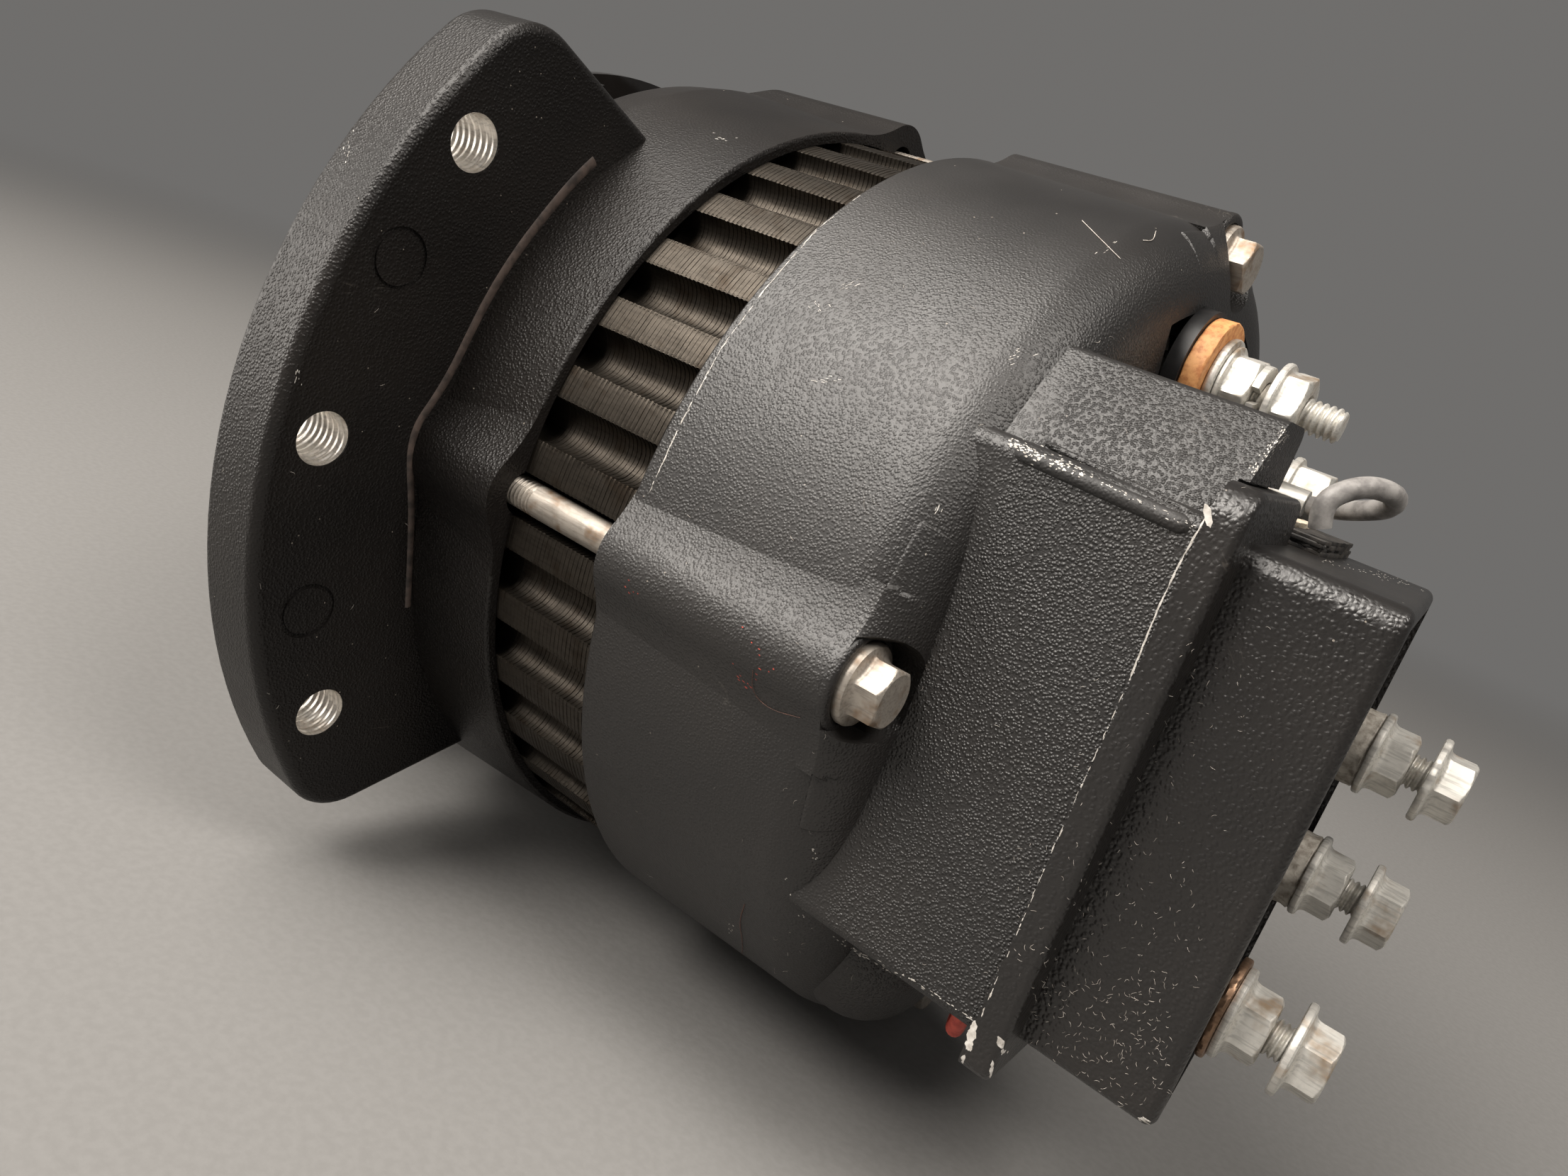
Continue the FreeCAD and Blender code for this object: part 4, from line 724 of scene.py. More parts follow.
# %% Weld bead
WELD_ANGLE = 50.0
WELD_RADIUS = LAND_RADIUS - GROOVE_DEPTH + 0.1
WELD_HALF_HEIGHT = 0.5
WELD_HALF_WIDTH = 1.25
WELD_STEPS = 90
rows = []
for k in range(WELD_STEPS + 1):
    x = SHEETS_FROM + 0.1 + (SHEETS_TO - SHEETS_FROM - 0.2) * k / WELD_STEPS
    ripple = 1.0 + 0.1 * abs(math.sin(2.4 * x)) + 0.05 * math.sin(0.9 * x)
    row = []
    for i in range(12):
        swing = math.radians(30.0 * i)
        tall = WELD_HALF_HEIGHT * ripple * math.sin(swing)
        wide = WELD_HALF_WIDTH * ripple * math.cos(swing)
        row.append(around(x, WELD_RADIUS + tall, WELD_ANGLE + math.degrees(wide / LAND_RADIUS)))
    rows.append(row)
bm = bmesh.new()
join_rows(bm, rows, start_cap=True, end_cap=True)
new_piece("stator_weld", bm, varnish)

# %% [markdown]
# ## Through bolts
# Four long bolts clamp the housings. Each has a hexagon with a flat turned flange, a smooth shank
# that shows in one of the stator's grooves, and a thread that starts near the drive end.

# %% Through bolts
BOLT_CIRCLE = 65.2
BOLT_RADIUS = 2.4
BOLT_SEAT = 76.3
BOLT_HEAD = 5.3
BOLT_FLATS = 7.3
BOLT_FLANGE = 10.9
BOLT_RIM = 1.5
BOLT_TURNS = (46.0, 63.0, 20.0, 37.0)
BOLT_FROM = -18.0
THREAD_FROM = 12.0
THREAD_TO = 20.2
THREAD_PITCH = 0.8
bolt_places = [(place.y, place.z) for place in (around(0.0, BOLT_CIRCLE, 90.0 * i) / MM for i in range(4))]
bm = bmesh.new()
for i, (y, z) in enumerate(bolt_places):
    head = (BOLT_FLATS, BOLT_FLANGE, BOLT_HEAD, BOLT_TURNS[i], 0.0, BOLT_RIM)
    plain_rod(bm, BOLT_FROM, THREAD_FROM, BOLT_RADIUS - 0.25, y, z)
    threaded_rod(bm, THREAD_FROM, THREAD_TO, BOLT_RADIUS, THREAD_PITCH, 0.4, y, z)
    plain_rod(bm, THREAD_TO - 0.3, BOLT_SEAT + 0.5, BOLT_RADIUS, y, z)
    flanged_hexagon(bm, BOLT_SEAT, y, z, *head, 0.03, 40 + i)
new_piece("through_bolt_set", bm, bolt_plate, replaces=["through_bolts"])

# %% [markdown]
# ## Threads in the flange
# The three holes in the flange are tapped, and the tap cut through the coat, so bright aluminium
# shows. The ridges stand inwards from the bore of the CAD solid.

# %% Flange threads
HOLE_CIRCLE = 87.2
HOLE_ANGLE = 29.6
HOLE_PITCH = 1.25
HOLE_RADIUS = 3.9
HOLE_FROM = -12.0
HOLE_TO = -0.15
RIDGE_HEIGHT = 0.26
LEAD_IN = 0.9
HOLE_ROWS = 96
HOLE_SIDES = 48
bm = bmesh.new()
for angle in (-HOLE_ANGLE, 0.0, HOLE_ANGLE):
    place = around(0.0, HOLE_CIRCLE, angle) / MM
    rows = []
    for k in range(HOLE_ROWS + 1):
        x = HOLE_FROM + (HOLE_TO - HOLE_FROM) * k / HOLE_ROWS
        row = []
        for i in range(HOLE_SIDES):
            phase = (x / HOLE_PITCH - i / HOLE_SIDES) % 1.0
            ridge = (0.5 + 0.5 * math.cos(2.0 * math.pi * phase)) ** 0.8
            open_end = min(1.0, max(0.0, (HOLE_TO - x) / LEAD_IN))
            radius = HOLE_RADIUS - RIDGE_HEIGHT * ridge * open_end
            row.append(around(x, radius, 360.0 * i / HOLE_SIDES, place.y, place.z))
        rows.append(row)
    join_rows(bm, rows)
new_piece("flange_threads", bm, aluminium, crease=60.0)

# %% [markdown]
# ## The output terminal
# From the wall outwards: a black collar, a thick washer of vulcanised fibre, a wide zinc washer, a
# nut, a split lock washer, and a second nut that was never tightened, with the stud through them all.

# %% Output terminal
OUT_Y = -12.0
OUT_Z = 47.5
STUD_RADIUS = 2.415
STUD_BORE = 2.0 * STUD_RADIUS
COLLAR_END = 83.8
FIBRE_END = 86.7
WASHER_END = 87.9
OUTER_NUT_FROM = 94.9
STUD_FROM = 69.6
STUD_THREAD_FROM = 91.4
STUD_TO = 104.8
TERMINAL_FLATS = 9.5
TERMINAL_FLANGE = 11.9
TERMINAL_NUT = (TERMINAL_FLATS, TERMINAL_FLANGE, 4.6)
fibre_section = washer_profile(COLLAR_END, FIBRE_END, STUD_RADIUS, 8.8, 0.35)
washer_section = washer_profile(FIBRE_END, WASHER_END, STUD_RADIUS, 6.75, 0.4)
one_form("fibre_washer", fibre_finish, "fibre", "output_fibre_washer",
         turned_form, fibre_section, OUT_Y, OUT_Z, 96, 0.12, 5)
one_form("wide_washer", zinc, "zinc", "output_washer",
         turned_form, washer_section, OUT_Y, OUT_Z, 96, 0.05, 6)
one_form("terminal_nut_inner", zinc, "zinc", "output_inner_nut",
         flanged_hexagon, WASHER_END, OUT_Y, OUT_Z, *TERMINAL_NUT, 8.0, STUD_BORE, 0.8, 0.06, 7)
one_form("terminal_nut_outer", zinc, "zinc", "output_outer_nut",
         flanged_hexagon, OUTER_NUT_FROM, OUT_Y, OUT_Z, *TERMINAL_NUT, 13.0, STUD_BORE, 1.1, 0.05, 8)

bm = bmesh.new()
plain_rod(bm, STUD_FROM, STUD_THREAD_FROM + 0.1, STUD_RADIUS - 0.2, OUT_Y, OUT_Z)
threaded_rod(bm, STUD_THREAD_FROM, STUD_TO, STUD_RADIUS, 1.0, 0.55, OUT_Y, OUT_Z, 40)
new_piece("terminal_stud", bm, zinc, replaces=["output_stud"], crease=60.0)

# %% [markdown]
# A lock washer is one turn of square wire, cut through, and its two ends stand apart.

# %% Lock washer
WIRE = ((92.5, 4.7), (93.55, 4.7), (93.65, 4.55), (93.65, 2.65), (93.55, 2.5), (92.5, 2.5))
WIRE_MIDDLE = 93.0
WIRE_GAP = 28.0
WIRE_LIFT = 0.25
WIRE_STEPS = 60
rows = []
for k in range(WIRE_STEPS + 1):
    angle = 0.5 * WIRE_GAP + (360.0 - WIRE_GAP) * k / WIRE_STEPS
    lift = WIRE_LIFT * k / WIRE_STEPS - 0.1
    rows.append([around(x + (lift if x > WIRE_MIDDLE else max(0.0, lift)), radius, angle, OUT_Y, OUT_Z)
                 for x, radius in WIRE])
bm = bmesh.new()
join_rows(bm, rows, start_cap=True, end_cap=True)
new_piece("split_washer", bm, zinc, replaces=["output_lock_washer"], crease=25.0)

# %% [markdown]
# ## The field terminal
# It stands on a tall insulator and clamps the eye of the field lead's lug under one nut.

# %% Field terminal
FIELD_Y = 8.5
FIELD_Z = 36.3
FIELD_STUD_FROM = 74.6
FIELD_THREAD_FROM = 95.8
FIELD_STUD_TO = 105.4
LUG_END = 97.5
LUG_NUT = (TERMINAL_FLATS, TERMINAL_FLANGE, 6.5)
one_form("lug_nut", zinc, "zinc", "field_nut",
         flanged_hexagon, LUG_END, FIELD_Y, FIELD_Z, *LUG_NUT, 3.0, STUD_BORE, 1.2, 0.08, 9)

bm = bmesh.new()
plain_rod(bm, FIELD_STUD_FROM, FIELD_THREAD_FROM + 0.2, STUD_RADIUS - 0.2, FIELD_Y, FIELD_Z)
threaded_rod(bm, FIELD_THREAD_FROM, FIELD_STUD_TO, STUD_RADIUS, 0.8, 0.45, FIELD_Y, FIELD_Z)
new_piece("lug_stud", bm, zinc, replaces=["field_stud"], crease=60.0)

# %% [markdown]
# ## The regulator's studs
# Three studs stand out of the potting, each with two flange nuts a little apart. Two stand on rough
# cast spacers, and the third on a low boss with a thin brownish washer.

# %% Regulator studs
POTTING_X = 123.1
STUDS = ((-11.8, 9.2, 125.7), (-13.0, -9.7, 125.7), (-41.4, -20.9, 126.3))
INNER_TURNS = (17.0, 14.0, 20.0)
OUTER_TURNS = (2.0, 17.0, 26.0)
NUT_HEIGHT = 5.0
NUT = (8.0, 11.8, NUT_HEIGHT)
NUT_BORE = 4.8
NUT_RIM = 1.1
NUT_ROUGH = 0.16
THREAD_GAP = 2.2
inner = bmesh.new()
outer = bmesh.new()
rods = bmesh.new()
spacers = bmesh.new()
for i, (y, z, foot) in enumerate(STUDS):
    second = foot + NUT_HEIGHT + THREAD_GAP
    flanged_hexagon(inner, foot, y, z, *NUT, INNER_TURNS[i], NUT_BORE, NUT_RIM, NUT_ROUGH, 20 + i)
    flanged_hexagon(outer, second, y, z, *NUT, OUTER_TURNS[i], NUT_BORE, NUT_RIM, NUT_ROUGH, 30 + i)
    plain_rod(rods, POTTING_X - 6.0, foot + NUT_HEIGHT - 0.9, 2.2, y, z)
    threaded_rod(rods, foot + NUT_HEIGHT - 1.0, second + NUT_HEIGHT - 0.8, 2.4, 0.8, 0.42, y, z, 40)
    if i < 2:
        profile = [(POTTING_X, 2.4), (POTTING_X, 5.2), (POTTING_X + 0.4, 5.4), (POTTING_X + 1.5, 5.3),
                   (foot - 0.3, 5.45), (foot, 5.2), (foot, 2.4)]
        turned_form(spacers, profile, y, z, 72, 0.22, 50 + i)
    else:
        turned_form(spacers, washer_profile(POTTING_X, POTTING_X + 2.1, 2.4, 4.5, 0.2), y, z, 72, 0.1, 52)
new_piece("stud_nuts_inner", inner, zinc, replaces=["regulator_inner_nuts"])
new_piece("stud_nuts_outer", outer, zinc, replaces=["regulator_outer_nuts"])
new_piece("stud_threads", rods, zinc, replaces=["regulator_studs"], crease=60.0)
new_piece("cast_spacers", spacers, spacer_finish, replaces=["regulator_spacers"])

y, z, foot = STUDS[2]
one_form("thin_washer", tarnished, "copper", "regulator_copper_washer",
         turned_form, washer_profile(foot - 1.1, foot, 2.6, 6.6, 0.35), y, z, 90, 0.12, 61)

# %% [markdown]
# ## The two leads
# The field lead is a stiff grey cable. It comes out of the rubber seal, rises in a small loop and
# goes back to the lug of the field terminal. Of the red lead only a sliver shows, so its way is a
# guess: out of the rear housing, round the pedestal's lower end and into it. Each is one smooth curve
# with a round section.


# %% Leads
def lead(name, route, diameter, length, finish, node):
    """A cable along a smooth curve with these points, which goes back into the object."""
    curve = bpy.data.curves.new(name, "CURVE")
    curve.dimensions = "3D"
    curve.bevel_depth = 0.5 * diameter * MM
    curve.bevel_resolution = 5
    curve.resolution_u = 16
    spline = curve.splines.new("NURBS")
    spline.points.add(len(route) - 1)
    for made, place in zip(spline.points, route):
        made.co = (*spot(*place), 1.0)
    spline.order_u = 3
    spline.use_endpoint_u = True
    curve.materials.append(finish)
    piece = bpy.data.objects.new(name, curve)
    bpy.context.scene.collection.objects.link(piece)
    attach(piece, "housing")
    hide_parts(node)
    print(name, length, "mm long")


FIELD_ROUTE = [
    (110.0, -28.0, 34.8), (109.2, -28.4, 36.9), (109.8, -28.0, 39.2), (112.6, -25.8, 41.6),
    (115.8, -21.6, 41.7), (115.2, -17.5, 39.8), (111.2, -13.4, 38.0), (107.4, -8.6, 36.9),
    (104.6, -7.5, 36.3),
]
RED_ROUTE = [
    (81.5, -8.0, -45.5), (91.5, -8.0, -45.5), (95.0, -19.0, -46.8), (95.2, -33.0, -46.6),
    (98.8, -44.6, -44.4), (98.8, -44.6, -33.0),
]
lead("field_cable", FIELD_ROUTE, 2.8, 33.5, grey_finish, "field_lead")
lead("red_cable", RED_ROUTE, 2.4, 54.0, red_finish, "red_lead")

# %% [markdown]
# ## The torn rubber seal
# The field lead leaves the case through a strip of old rubber that has split into layers. Each layer
# is a thin plate with its own ragged outline, so the edge shows steps and cracks. A strip of cork
# lies on top.


# %% Ragged plates
TEAR = 0.3
TEAR_STEP = 0.35


def ragged_plate(bm, corners, z0, z1, seed):
    """A thin plate along an outline of (x, y) corners whose edge wanders as a tear does."""
    chance = random.Random(seed)
    outline = []
    for (xa, ya), (xb, yb) in zip(corners, corners[1:] + corners[:1]):
        count = max(1, int(math.hypot(xb - xa, yb - ya) / TEAR_STEP))
        side = Vector((yb - ya, xa - xb, 0.0)).normalized()
        drift = 0.0
        for i in range(count):
            drift = 0.7 * drift + chance.uniform(-TEAR, TEAR) * 0.6
            share = i / count
            pull = drift if i else 0.0
            outline.append((xa + (xb - xa) * share + side.x * pull, ya + (yb - ya) * share + side.y * pull))
    middle_x = sum(x for x, y in outline) / len(outline)
    middle_y = sum(y for x, y in outline) / len(outline)
    rows = []
    for share, z in ((0.995, z0), (1.0, z0 + 0.25 * (z1 - z0)), (1.0, z0 + 0.75 * (z1 - z0)), (0.99, z1)):
        rows.append([spot(middle_x + (x - middle_x) * share, middle_y + (y - middle_y) * share, z)
                     for x, y in outline])
    join_rows(bm, rows, start_cap=True, end_cap=True)


# %% Rubber seal
SEAL_LAYERS = ((31.6, 32.15, 0.0), (32.1, 32.6, 0.25), (32.55, 33.1, -0.15), (33.05, 33.6, 0.1))
bm = bmesh.new()
for layer, (z0, z1, shift) in enumerate(SEAL_LAYERS):
    corners = [(104.7, -29.9 + shift), (111.7 - shift, -29.8), (112.2, -14.0 + shift),
               (111.9 + shift, -8.2), (104.7, -8.1 + shift)]
    ragged_plate(bm, corners, z0, z1, 70 + layer)
new_piece("rubber_seal", bm, rubber_finish, replaces=["regulator_rubber_pad"], crease=25.0)

CORK_CORNERS = [(104.8, -29.2), (106.6, -28.9), (107.0, -18.0), (106.4, -9.0), (104.8, -8.9)]
one_form("cork_strip", cork_finish, "cork", "regulator_cork_pad",
         ragged_plate, CORK_CORNERS, 33.6, 34.25, 81, crease=25.0)

# %% [markdown]
# ## Wear and lint
# Chips and lint lie where chance put them, so their places in the picture are listed. A place in the
# camera's picture is followed along its ray until it meets the solids, and the chip or fibre is built
# there, a hair above the surface, so it sits on the object from every side.

# %% From the picture to the surface
PICTURE_WIDTH = 2212
PICTURE_HEIGHT = 1659
FOCAL = LENS_MM / SENSOR_WIDTH_MM * PICTURE_WIDTH


def surface_of(names, pieces=()):
    """A search tree over the faces of these solids and of these pieces."""
    places = []
    faces = []
    for name in [*names, *pieces]:
        mesh = nodes[name].data if name in names else bpy.data.objects[name].data
        first = len(places)
        places.extend(vertex.co.copy() for vertex in mesh.vertices)
        faces.extend([first + index for index in face.vertices] for face in mesh.polygons)
    return BVHTree.FromPolygons(places, faces)


SEEN_SOLIDS = ["drive_end_housing", "rear_housing", "regulator_case", "regulator_potting"]
SURFACE = surface_of(SEEN_SOLIDS)


def seen_at(across, down):
    """The place and normal of the surface that the camera sees at a place in its picture, or None."""
    right = (across - PICTURE_WIDTH / 2) / FOCAL
    up = (PICTURE_HEIGHT / 2 - down) / FOCAL
    direction = (right * CAMERA_RIGHT + up * CAMERA_UP - CAMERA_BACK).normalized()
    place, normal, _, _ = SURFACE.ray_cast(CAMERA_PLACE, direction)
    if place is None:
        return None
    if normal.dot(direction) > 0.0:
        normal = -normal
    return place, normal


print("surface in the middle of the picture", seen_at(PICTURE_WIDTH / 2, PICTURE_HEIGHT / 2)[0])

# %% [markdown]
# ## Soft forms of the casting
# A few soft or thin forms aren't in the solids. The ridge round each through bolt sinks into the
# drum's shoulder on both sides of the bolt's pocket, where the solid ends it with a step. A sheet lies
# over the step: rays find how high the ridge stands over the shoulder, and the sheet adds that height
# to the shoulder, less and less of it towards the rear.

# %% Ridge ends
POCKET_RADIUS = 6.3
POCKET_MIDDLE = 80.0
RIDGE_ENDS = 76.1
PAST_THE_STEP = 76.45
SHOULDER_FADES = 81.0
RIDGE_HALF_ANGLE = 17.9
BESIDE_THE_POCKET = 6.6
ENDS_STEPS = 18
ENDS_SIDES = 28
SKIN = 0.02
TUCK = 0.4


def height_at(x, angle):
    """The radius of the rear housing's outside at a station, in millimetres."""
    start = around(x, 90.0, angle)
    inward = (around(x, 0.0, angle) - start).normalized()
    place, _, _, _ = SURFACE.ray_cast(start, inward)
    return 60.0 if place is None else math.hypot(place.y, place.z) / MM


def ridge_row(k, middle, side):
    """One row of the sheet, from the pocket's rim to where the ridge's flank meets the drum."""
    share = k / ENDS_STEPS
    x = RIDGE_ENDS + (SHOULDER_FADES - RIDGE_ENDS) * share
    fade = 1.0 - share * share * (3.0 - 2.0 * share)
    gap = math.sqrt(POCKET_RADIUS ** 2 - max(0.0, POCKET_MIDDLE - x) ** 2)
    gap = math.degrees(gap / BOLT_CIRCLE)
    row = []
    for j in range(ENDS_SIDES + 1):
        off = gap + (RIDGE_HALF_ANGLE - gap) * j / ENDS_SIDES
        beside = middle + side * max(off, BESIDE_THE_POCKET)
        shoulder = height_at(max(x, PAST_THE_STEP), beside)
        ridge = height_at(RIDGE_ENDS - 0.2, middle + side * off)
        step = max(0.0, ridge - height_at(PAST_THE_STEP, beside))
        on_top = 0 < j < ENDS_SIDES and k < ENDS_STEPS
        radius = shoulder + step * fade + (SKIN if on_top else -TUCK)
        if j == 0:
            radius = shoulder - 3.0
            off = gap + 0.03
        row.append(around(x, radius, middle + side * off))
    return row


bm = bmesh.new()
for i in range(4):
    for side in (-1.0, 1.0):
        join_rows(bm, [ridge_row(k, 90.0 * i, side) for k in range(ENDS_STEPS + 1)], closed=False)
new_piece("ridge_ends", bm, coat_rear, crease=22.0)

# %% [markdown]
# The pocket's mouth has a rounded lip, which is a turned form about each bolt.

# %% Pocket lips
LIP_PROFILE = [
    (75.5, 5.7), (75.5, 7.04), (76.35, 7.03), (76.62, 6.85), (76.8, 6.5), (76.85, 6.05), (76.7, 5.7),
]
bm = bmesh.new()
for i, (y, z) in enumerate(bolt_places):
    turned_form(bm, LIP_PROFILE, y, z, 72, 0.04, 90 + i)
new_piece("pocket_lips", bm, coat_rear, crease=50.0)

# %% [markdown]
# Along the pedestal's top edge runs a rolled edge, and behind it, where the block stands, a narrow
# bead. Each runs straight between two places that the camera sees.


# %% Beads on the pedestal
BEAD_STEPS = 30
BEAD_SIDES = 20


def circle(count):
    """Angles evenly round a circle, in radians."""
    return [2.0 * math.pi * i / count for i in range(count)]


def bead(name, finish, ends, radius, sink):
    """A round bead between two places in the picture, sunk a little below the edge."""
    first, last = [seen_at(*end)[0] for end in ends]
    rows = []
    for k in range(BEAD_STEPS + 1):
        place = first.lerp(last, k / BEAD_STEPS) + Vector((0.0, sink, -sink)) * MM
        taper = math.sqrt(max(0.02, min(1.0, k / 2.0, (BEAD_STEPS - k) / 2.0)))
        rows.append([place + Vector((0.0, math.cos(turn), math.sin(turn))) * radius * taper * MM
                     for turn in circle(BEAD_SIDES)])
    bm = bmesh.new()
    join_rows(bm, rows, start_cap=True, end_cap=True)
    new_piece(name, bm, finish)


TOP_EDGE = ((1428, 628), (1688, 743))
BLOCK_FOOT = ((1470, 622), (1688, 727))
bead("rolled_edge", coat_edge, TOP_EDGE, 1.15, 0.5)
bead("block_foot_bead", coat_rear, BLOCK_FOOT, 0.45, 0.1)

# %% [markdown]
# The flange's rear face ends in a thin raised line before the hollow curve to the drum. The line's lighter
# colour is a painted highlight, standing in for the light that this rounded edge catches. It grows wider
# towards the top.


# %% Line along the flange
def tube(bm, line, radii, count, shifts=None):
    """A round tube along a line of places, with a radius in millimetres and maybe a shift at each."""
    rows = []
    for i, place in enumerate(line):
        along = (line[min(i + 1, len(line) - 1)] - line[max(i - 1, 0)]).normalized()
        side = along.orthogonal().normalized()
        other = along.cross(side)
        middle = place + shifts[i] if shifts else place
        rows.append([middle + (side * math.cos(turn) + other * math.sin(turn)) * radii[i] * MM
                     for turn in circle(count)])
    join_rows(bm, rows, start_cap=True, end_cap=True)


def smoothed(route):
    """A route through the picture whose corners are cut three times, so that it bends evenly."""
    for _ in range(3):
        finer = [route[0]]
        for start, stop in zip(route, route[1:]):
            finer.append((0.75 * start[0] + 0.25 * stop[0], 0.75 * start[1] + 0.25 * stop[1]))
            finer.append((0.25 * start[0] + 0.75 * stop[0], 0.25 * start[1] + 0.75 * stop[1]))
        route = finer + [route[-1]]
    return route


def seen_along(route):
    """The places and normals that the camera sees along a smoothed route."""
    return [hit for hit in (seen_at(*place) for place in smoothed(route)) if hit]


FLANGE_LINE = [
    (575, 860), (580, 760), (581, 700), (577, 640), (588, 598), (608, 572), (640, 520), (668, 460),
    (700, 400), (735, 347), (770, 302), (810, 254), (840, 226),
]
LINE_RADIUS = 0.7
LINE_GROWS = 1.0
LINE_STANDS = 0.24
seen = seen_along(FLANGE_LINE)
line = []
radii = []
shifts = []
for i, (_, normal) in enumerate(seen):
    near = [hit[0] for hit in seen[max(0, i - 3):i + 4]]
    line.append(sum(near, Vector()) / len(near))
    radii.append(LINE_RADIUS + LINE_GROWS * i / len(seen))
    shifts.append(normal * (LINE_STANDS - radii[i]) * MM)
bm = bmesh.new()
tube(bm, line, radii, 24, shifts)
new_piece("flange_line", bm, painted_highlight_coat)
SURFACE = surface_of(SEEN_SOLIDS, ["ridge_ends", "rolled_edge", "block_foot_bead"])

# %% [markdown]
# A chip is a small ragged plate. Chips along an edge follow a line through the picture, and each one
# lies lengthwise along that line.


# %% Chips
CHIP_SIDES = 9
CHIP_RIM = 0.012
CHIP_MIDDLE = 0.035
LOOK_AHEAD = 3.0
LARGEST_JUMP = 2.0


def add_chip(bm, place, normal, along, length, width, chance):
    """A ragged plate that lies on the surface, thicker in its middle."""
    along = (along - normal * along.dot(normal)).normalized()
    side = normal.cross(along)
    rim = []
    for turn in circle(CHIP_SIDES):
        part_long = 0.5 * length * math.cos(turn) * chance.uniform(0.6, 1.1)
        part_wide = 0.5 * width * math.sin(turn) * chance.uniform(0.5, 1.2)
        rim.append(bm.verts.new(place + (along * part_long + side * part_wide + normal * CHIP_RIM) * MM))
    middle = bm.verts.new(place + normal * CHIP_MIDDLE * MM)
    for i in range(CHIP_SIDES):
        bm.faces.new((rim[i], rim[(i + 1) % CHIP_SIDES], middle))


def chips_along(bm, route, count, spread, lengths, widths, chance):
    """Chips at chance places along a line of picture places, spread to each side by a few pixels."""
    runs = [(start, stop, math.dist(start, stop)) for start, stop in zip(route, route[1:])]
    whole = sum(run[2] for run in runs)
    for _ in range(count):
        travelled = chance.uniform(0.0, whole)
        for start, stop, run in runs:
            if travelled <= run:
                break
            travelled -= run
        step_x = (stop[0] - start[0]) / run
        step_y = (stop[1] - start[1]) / run
        aside = chance.gauss(0.0, spread)
        across = start[0] + step_x * travelled - step_y * aside
        down = start[1] + step_y * travelled + step_x * aside
        here = seen_at(across, down)
        ahead = seen_at(across + LOOK_AHEAD * step_x, down + LOOK_AHEAD * step_y)
        if here is None or ahead is None or (ahead[0] - here[0]).length > LARGEST_JUMP * MM:
            continue
        length = chance.uniform(*lengths)
        width = chance.uniform(*widths)
        add_chip(bm, *here, (ahead[0] - here[0]) / MM, length, width, chance)


# %% [markdown]
# Each line below is one worn place: a route through the picture, how many chips, how far they spread,
# and how long and wide they are in millimetres.

# %% Worn places
PALE_WEAR = [
    ([(1424, 622), (1450, 636), (1500, 655), (1530, 667)], 130, 4.5, (0.15, 0.6), (0.1, 0.28)),
    ([(1530, 667), (1575, 690), (1635, 720), (1690, 745)], 40, 2.2, (0.15, 0.5), (0.08, 0.18)),
    ([(1766, 668), (1790, 640), (1815, 606)], 110, 4.0, (0.12, 0.45), (0.08, 0.2)),
    ([(1698, 735), (1680, 766), (1655, 812), (1625, 880), (1595, 955)], 130, 0.5, (0.6, 2.2), (0.07, 0.17)),
    ([(1595, 955), (1520, 1120), (1450, 1280), (1385, 1432)], 45, 0.6, (0.4, 1.4), (0.07, 0.16)),
    ([(1704, 726), (1705, 732)], 5, 0.8, (1.8, 2.5), (0.7, 1.0)),
    ([(1228, 264), (1152, 324), (1082, 404), (1017, 492), (957, 604), (917, 692)], 150, 0.4, (0.5, 1.6),
     (0.05, 0.12)),
    ([(1373, 1448), (1363, 1480)], 26, 2.2, (0.8, 2.0), (0.4, 0.8)),
    ([(1361, 1486), (1356, 1506)], 10, 1.0, (0.6, 1.2), (0.25, 0.45)),
    ([(1409, 1468), (1419, 1488)], 14, 2.2, (0.6, 1.4), (0.4, 0.7)),
    ([(1401, 1498), (1395, 1528)], 14, 1.2, (0.5, 1.3), (0.2, 0.4)),
    ([(1176, 1319), (1205, 1340), (1250, 1366), (1292, 1386)], 40, 2.0, (0.25, 0.8), (0.1, 0.25)),
    ([(1292, 1386), (1330, 1410), (1372, 1438)], 18, 1.5, (0.25, 0.7), (0.1, 0.22)),
    ([(1108, 1238), (1124, 1275), (1140, 1312)], 9, 3.0, (0.2, 0.5), (0.12, 0.25)),
    ([(1140, 1185), (1155, 1215)], 6, 2.0, (0.2, 0.5), (0.12, 0.22)),
    ([(1025, 1293), (1033, 1320)], 7, 3.0, (0.25, 0.6), (0.15, 0.3)),
    ([(912, 1232), (919, 1240)], 4, 2.0, (0.2, 0.5), (0.12, 0.3)),
    ([(1150, 424), (1162, 440)], 8, 5.0, (0.3, 0.9), (0.06, 0.12)),
    ([(1185, 408), (1212, 396)], 9, 5.0, (0.3, 1.0), (0.06, 0.12)),
    ([(1133, 532), (1185, 538)], 10, 6.0, (0.3, 1.0), (0.06, 0.12)),
    ([(1425, 505), (1462, 492)], 9, 5.0, (0.3, 1.0), (0.06, 0.12)),
    ([(1545, 360), (1575, 340)], 7, 4.0, (0.3, 0.9), (0.06, 0.12)),
    ([(1318, 730), (1326, 712)], 6, 3.0, (0.3, 0.8), (0.06, 0.12)),
    ([(1862, 790), (1930, 806), (2012, 829)], 60, 2.5, (0.2, 0.6), (0.12, 0.3)),
    ([(1606, 1576), (1620, 1582)], 12, 2.0, (0.4, 1.0), (0.2, 0.45)),
    ([(1005, 190), (1040, 196)], 7, 3.0, (0.3, 0.8), (0.08, 0.15)),
    ([(428, 512), (420, 545)], 8, 4.0, (0.3, 0.8), (0.08, 0.2)),
    ([(498, 180), (486, 230)], 8, 3.0, (0.3, 0.7), (0.08, 0.2)),
]
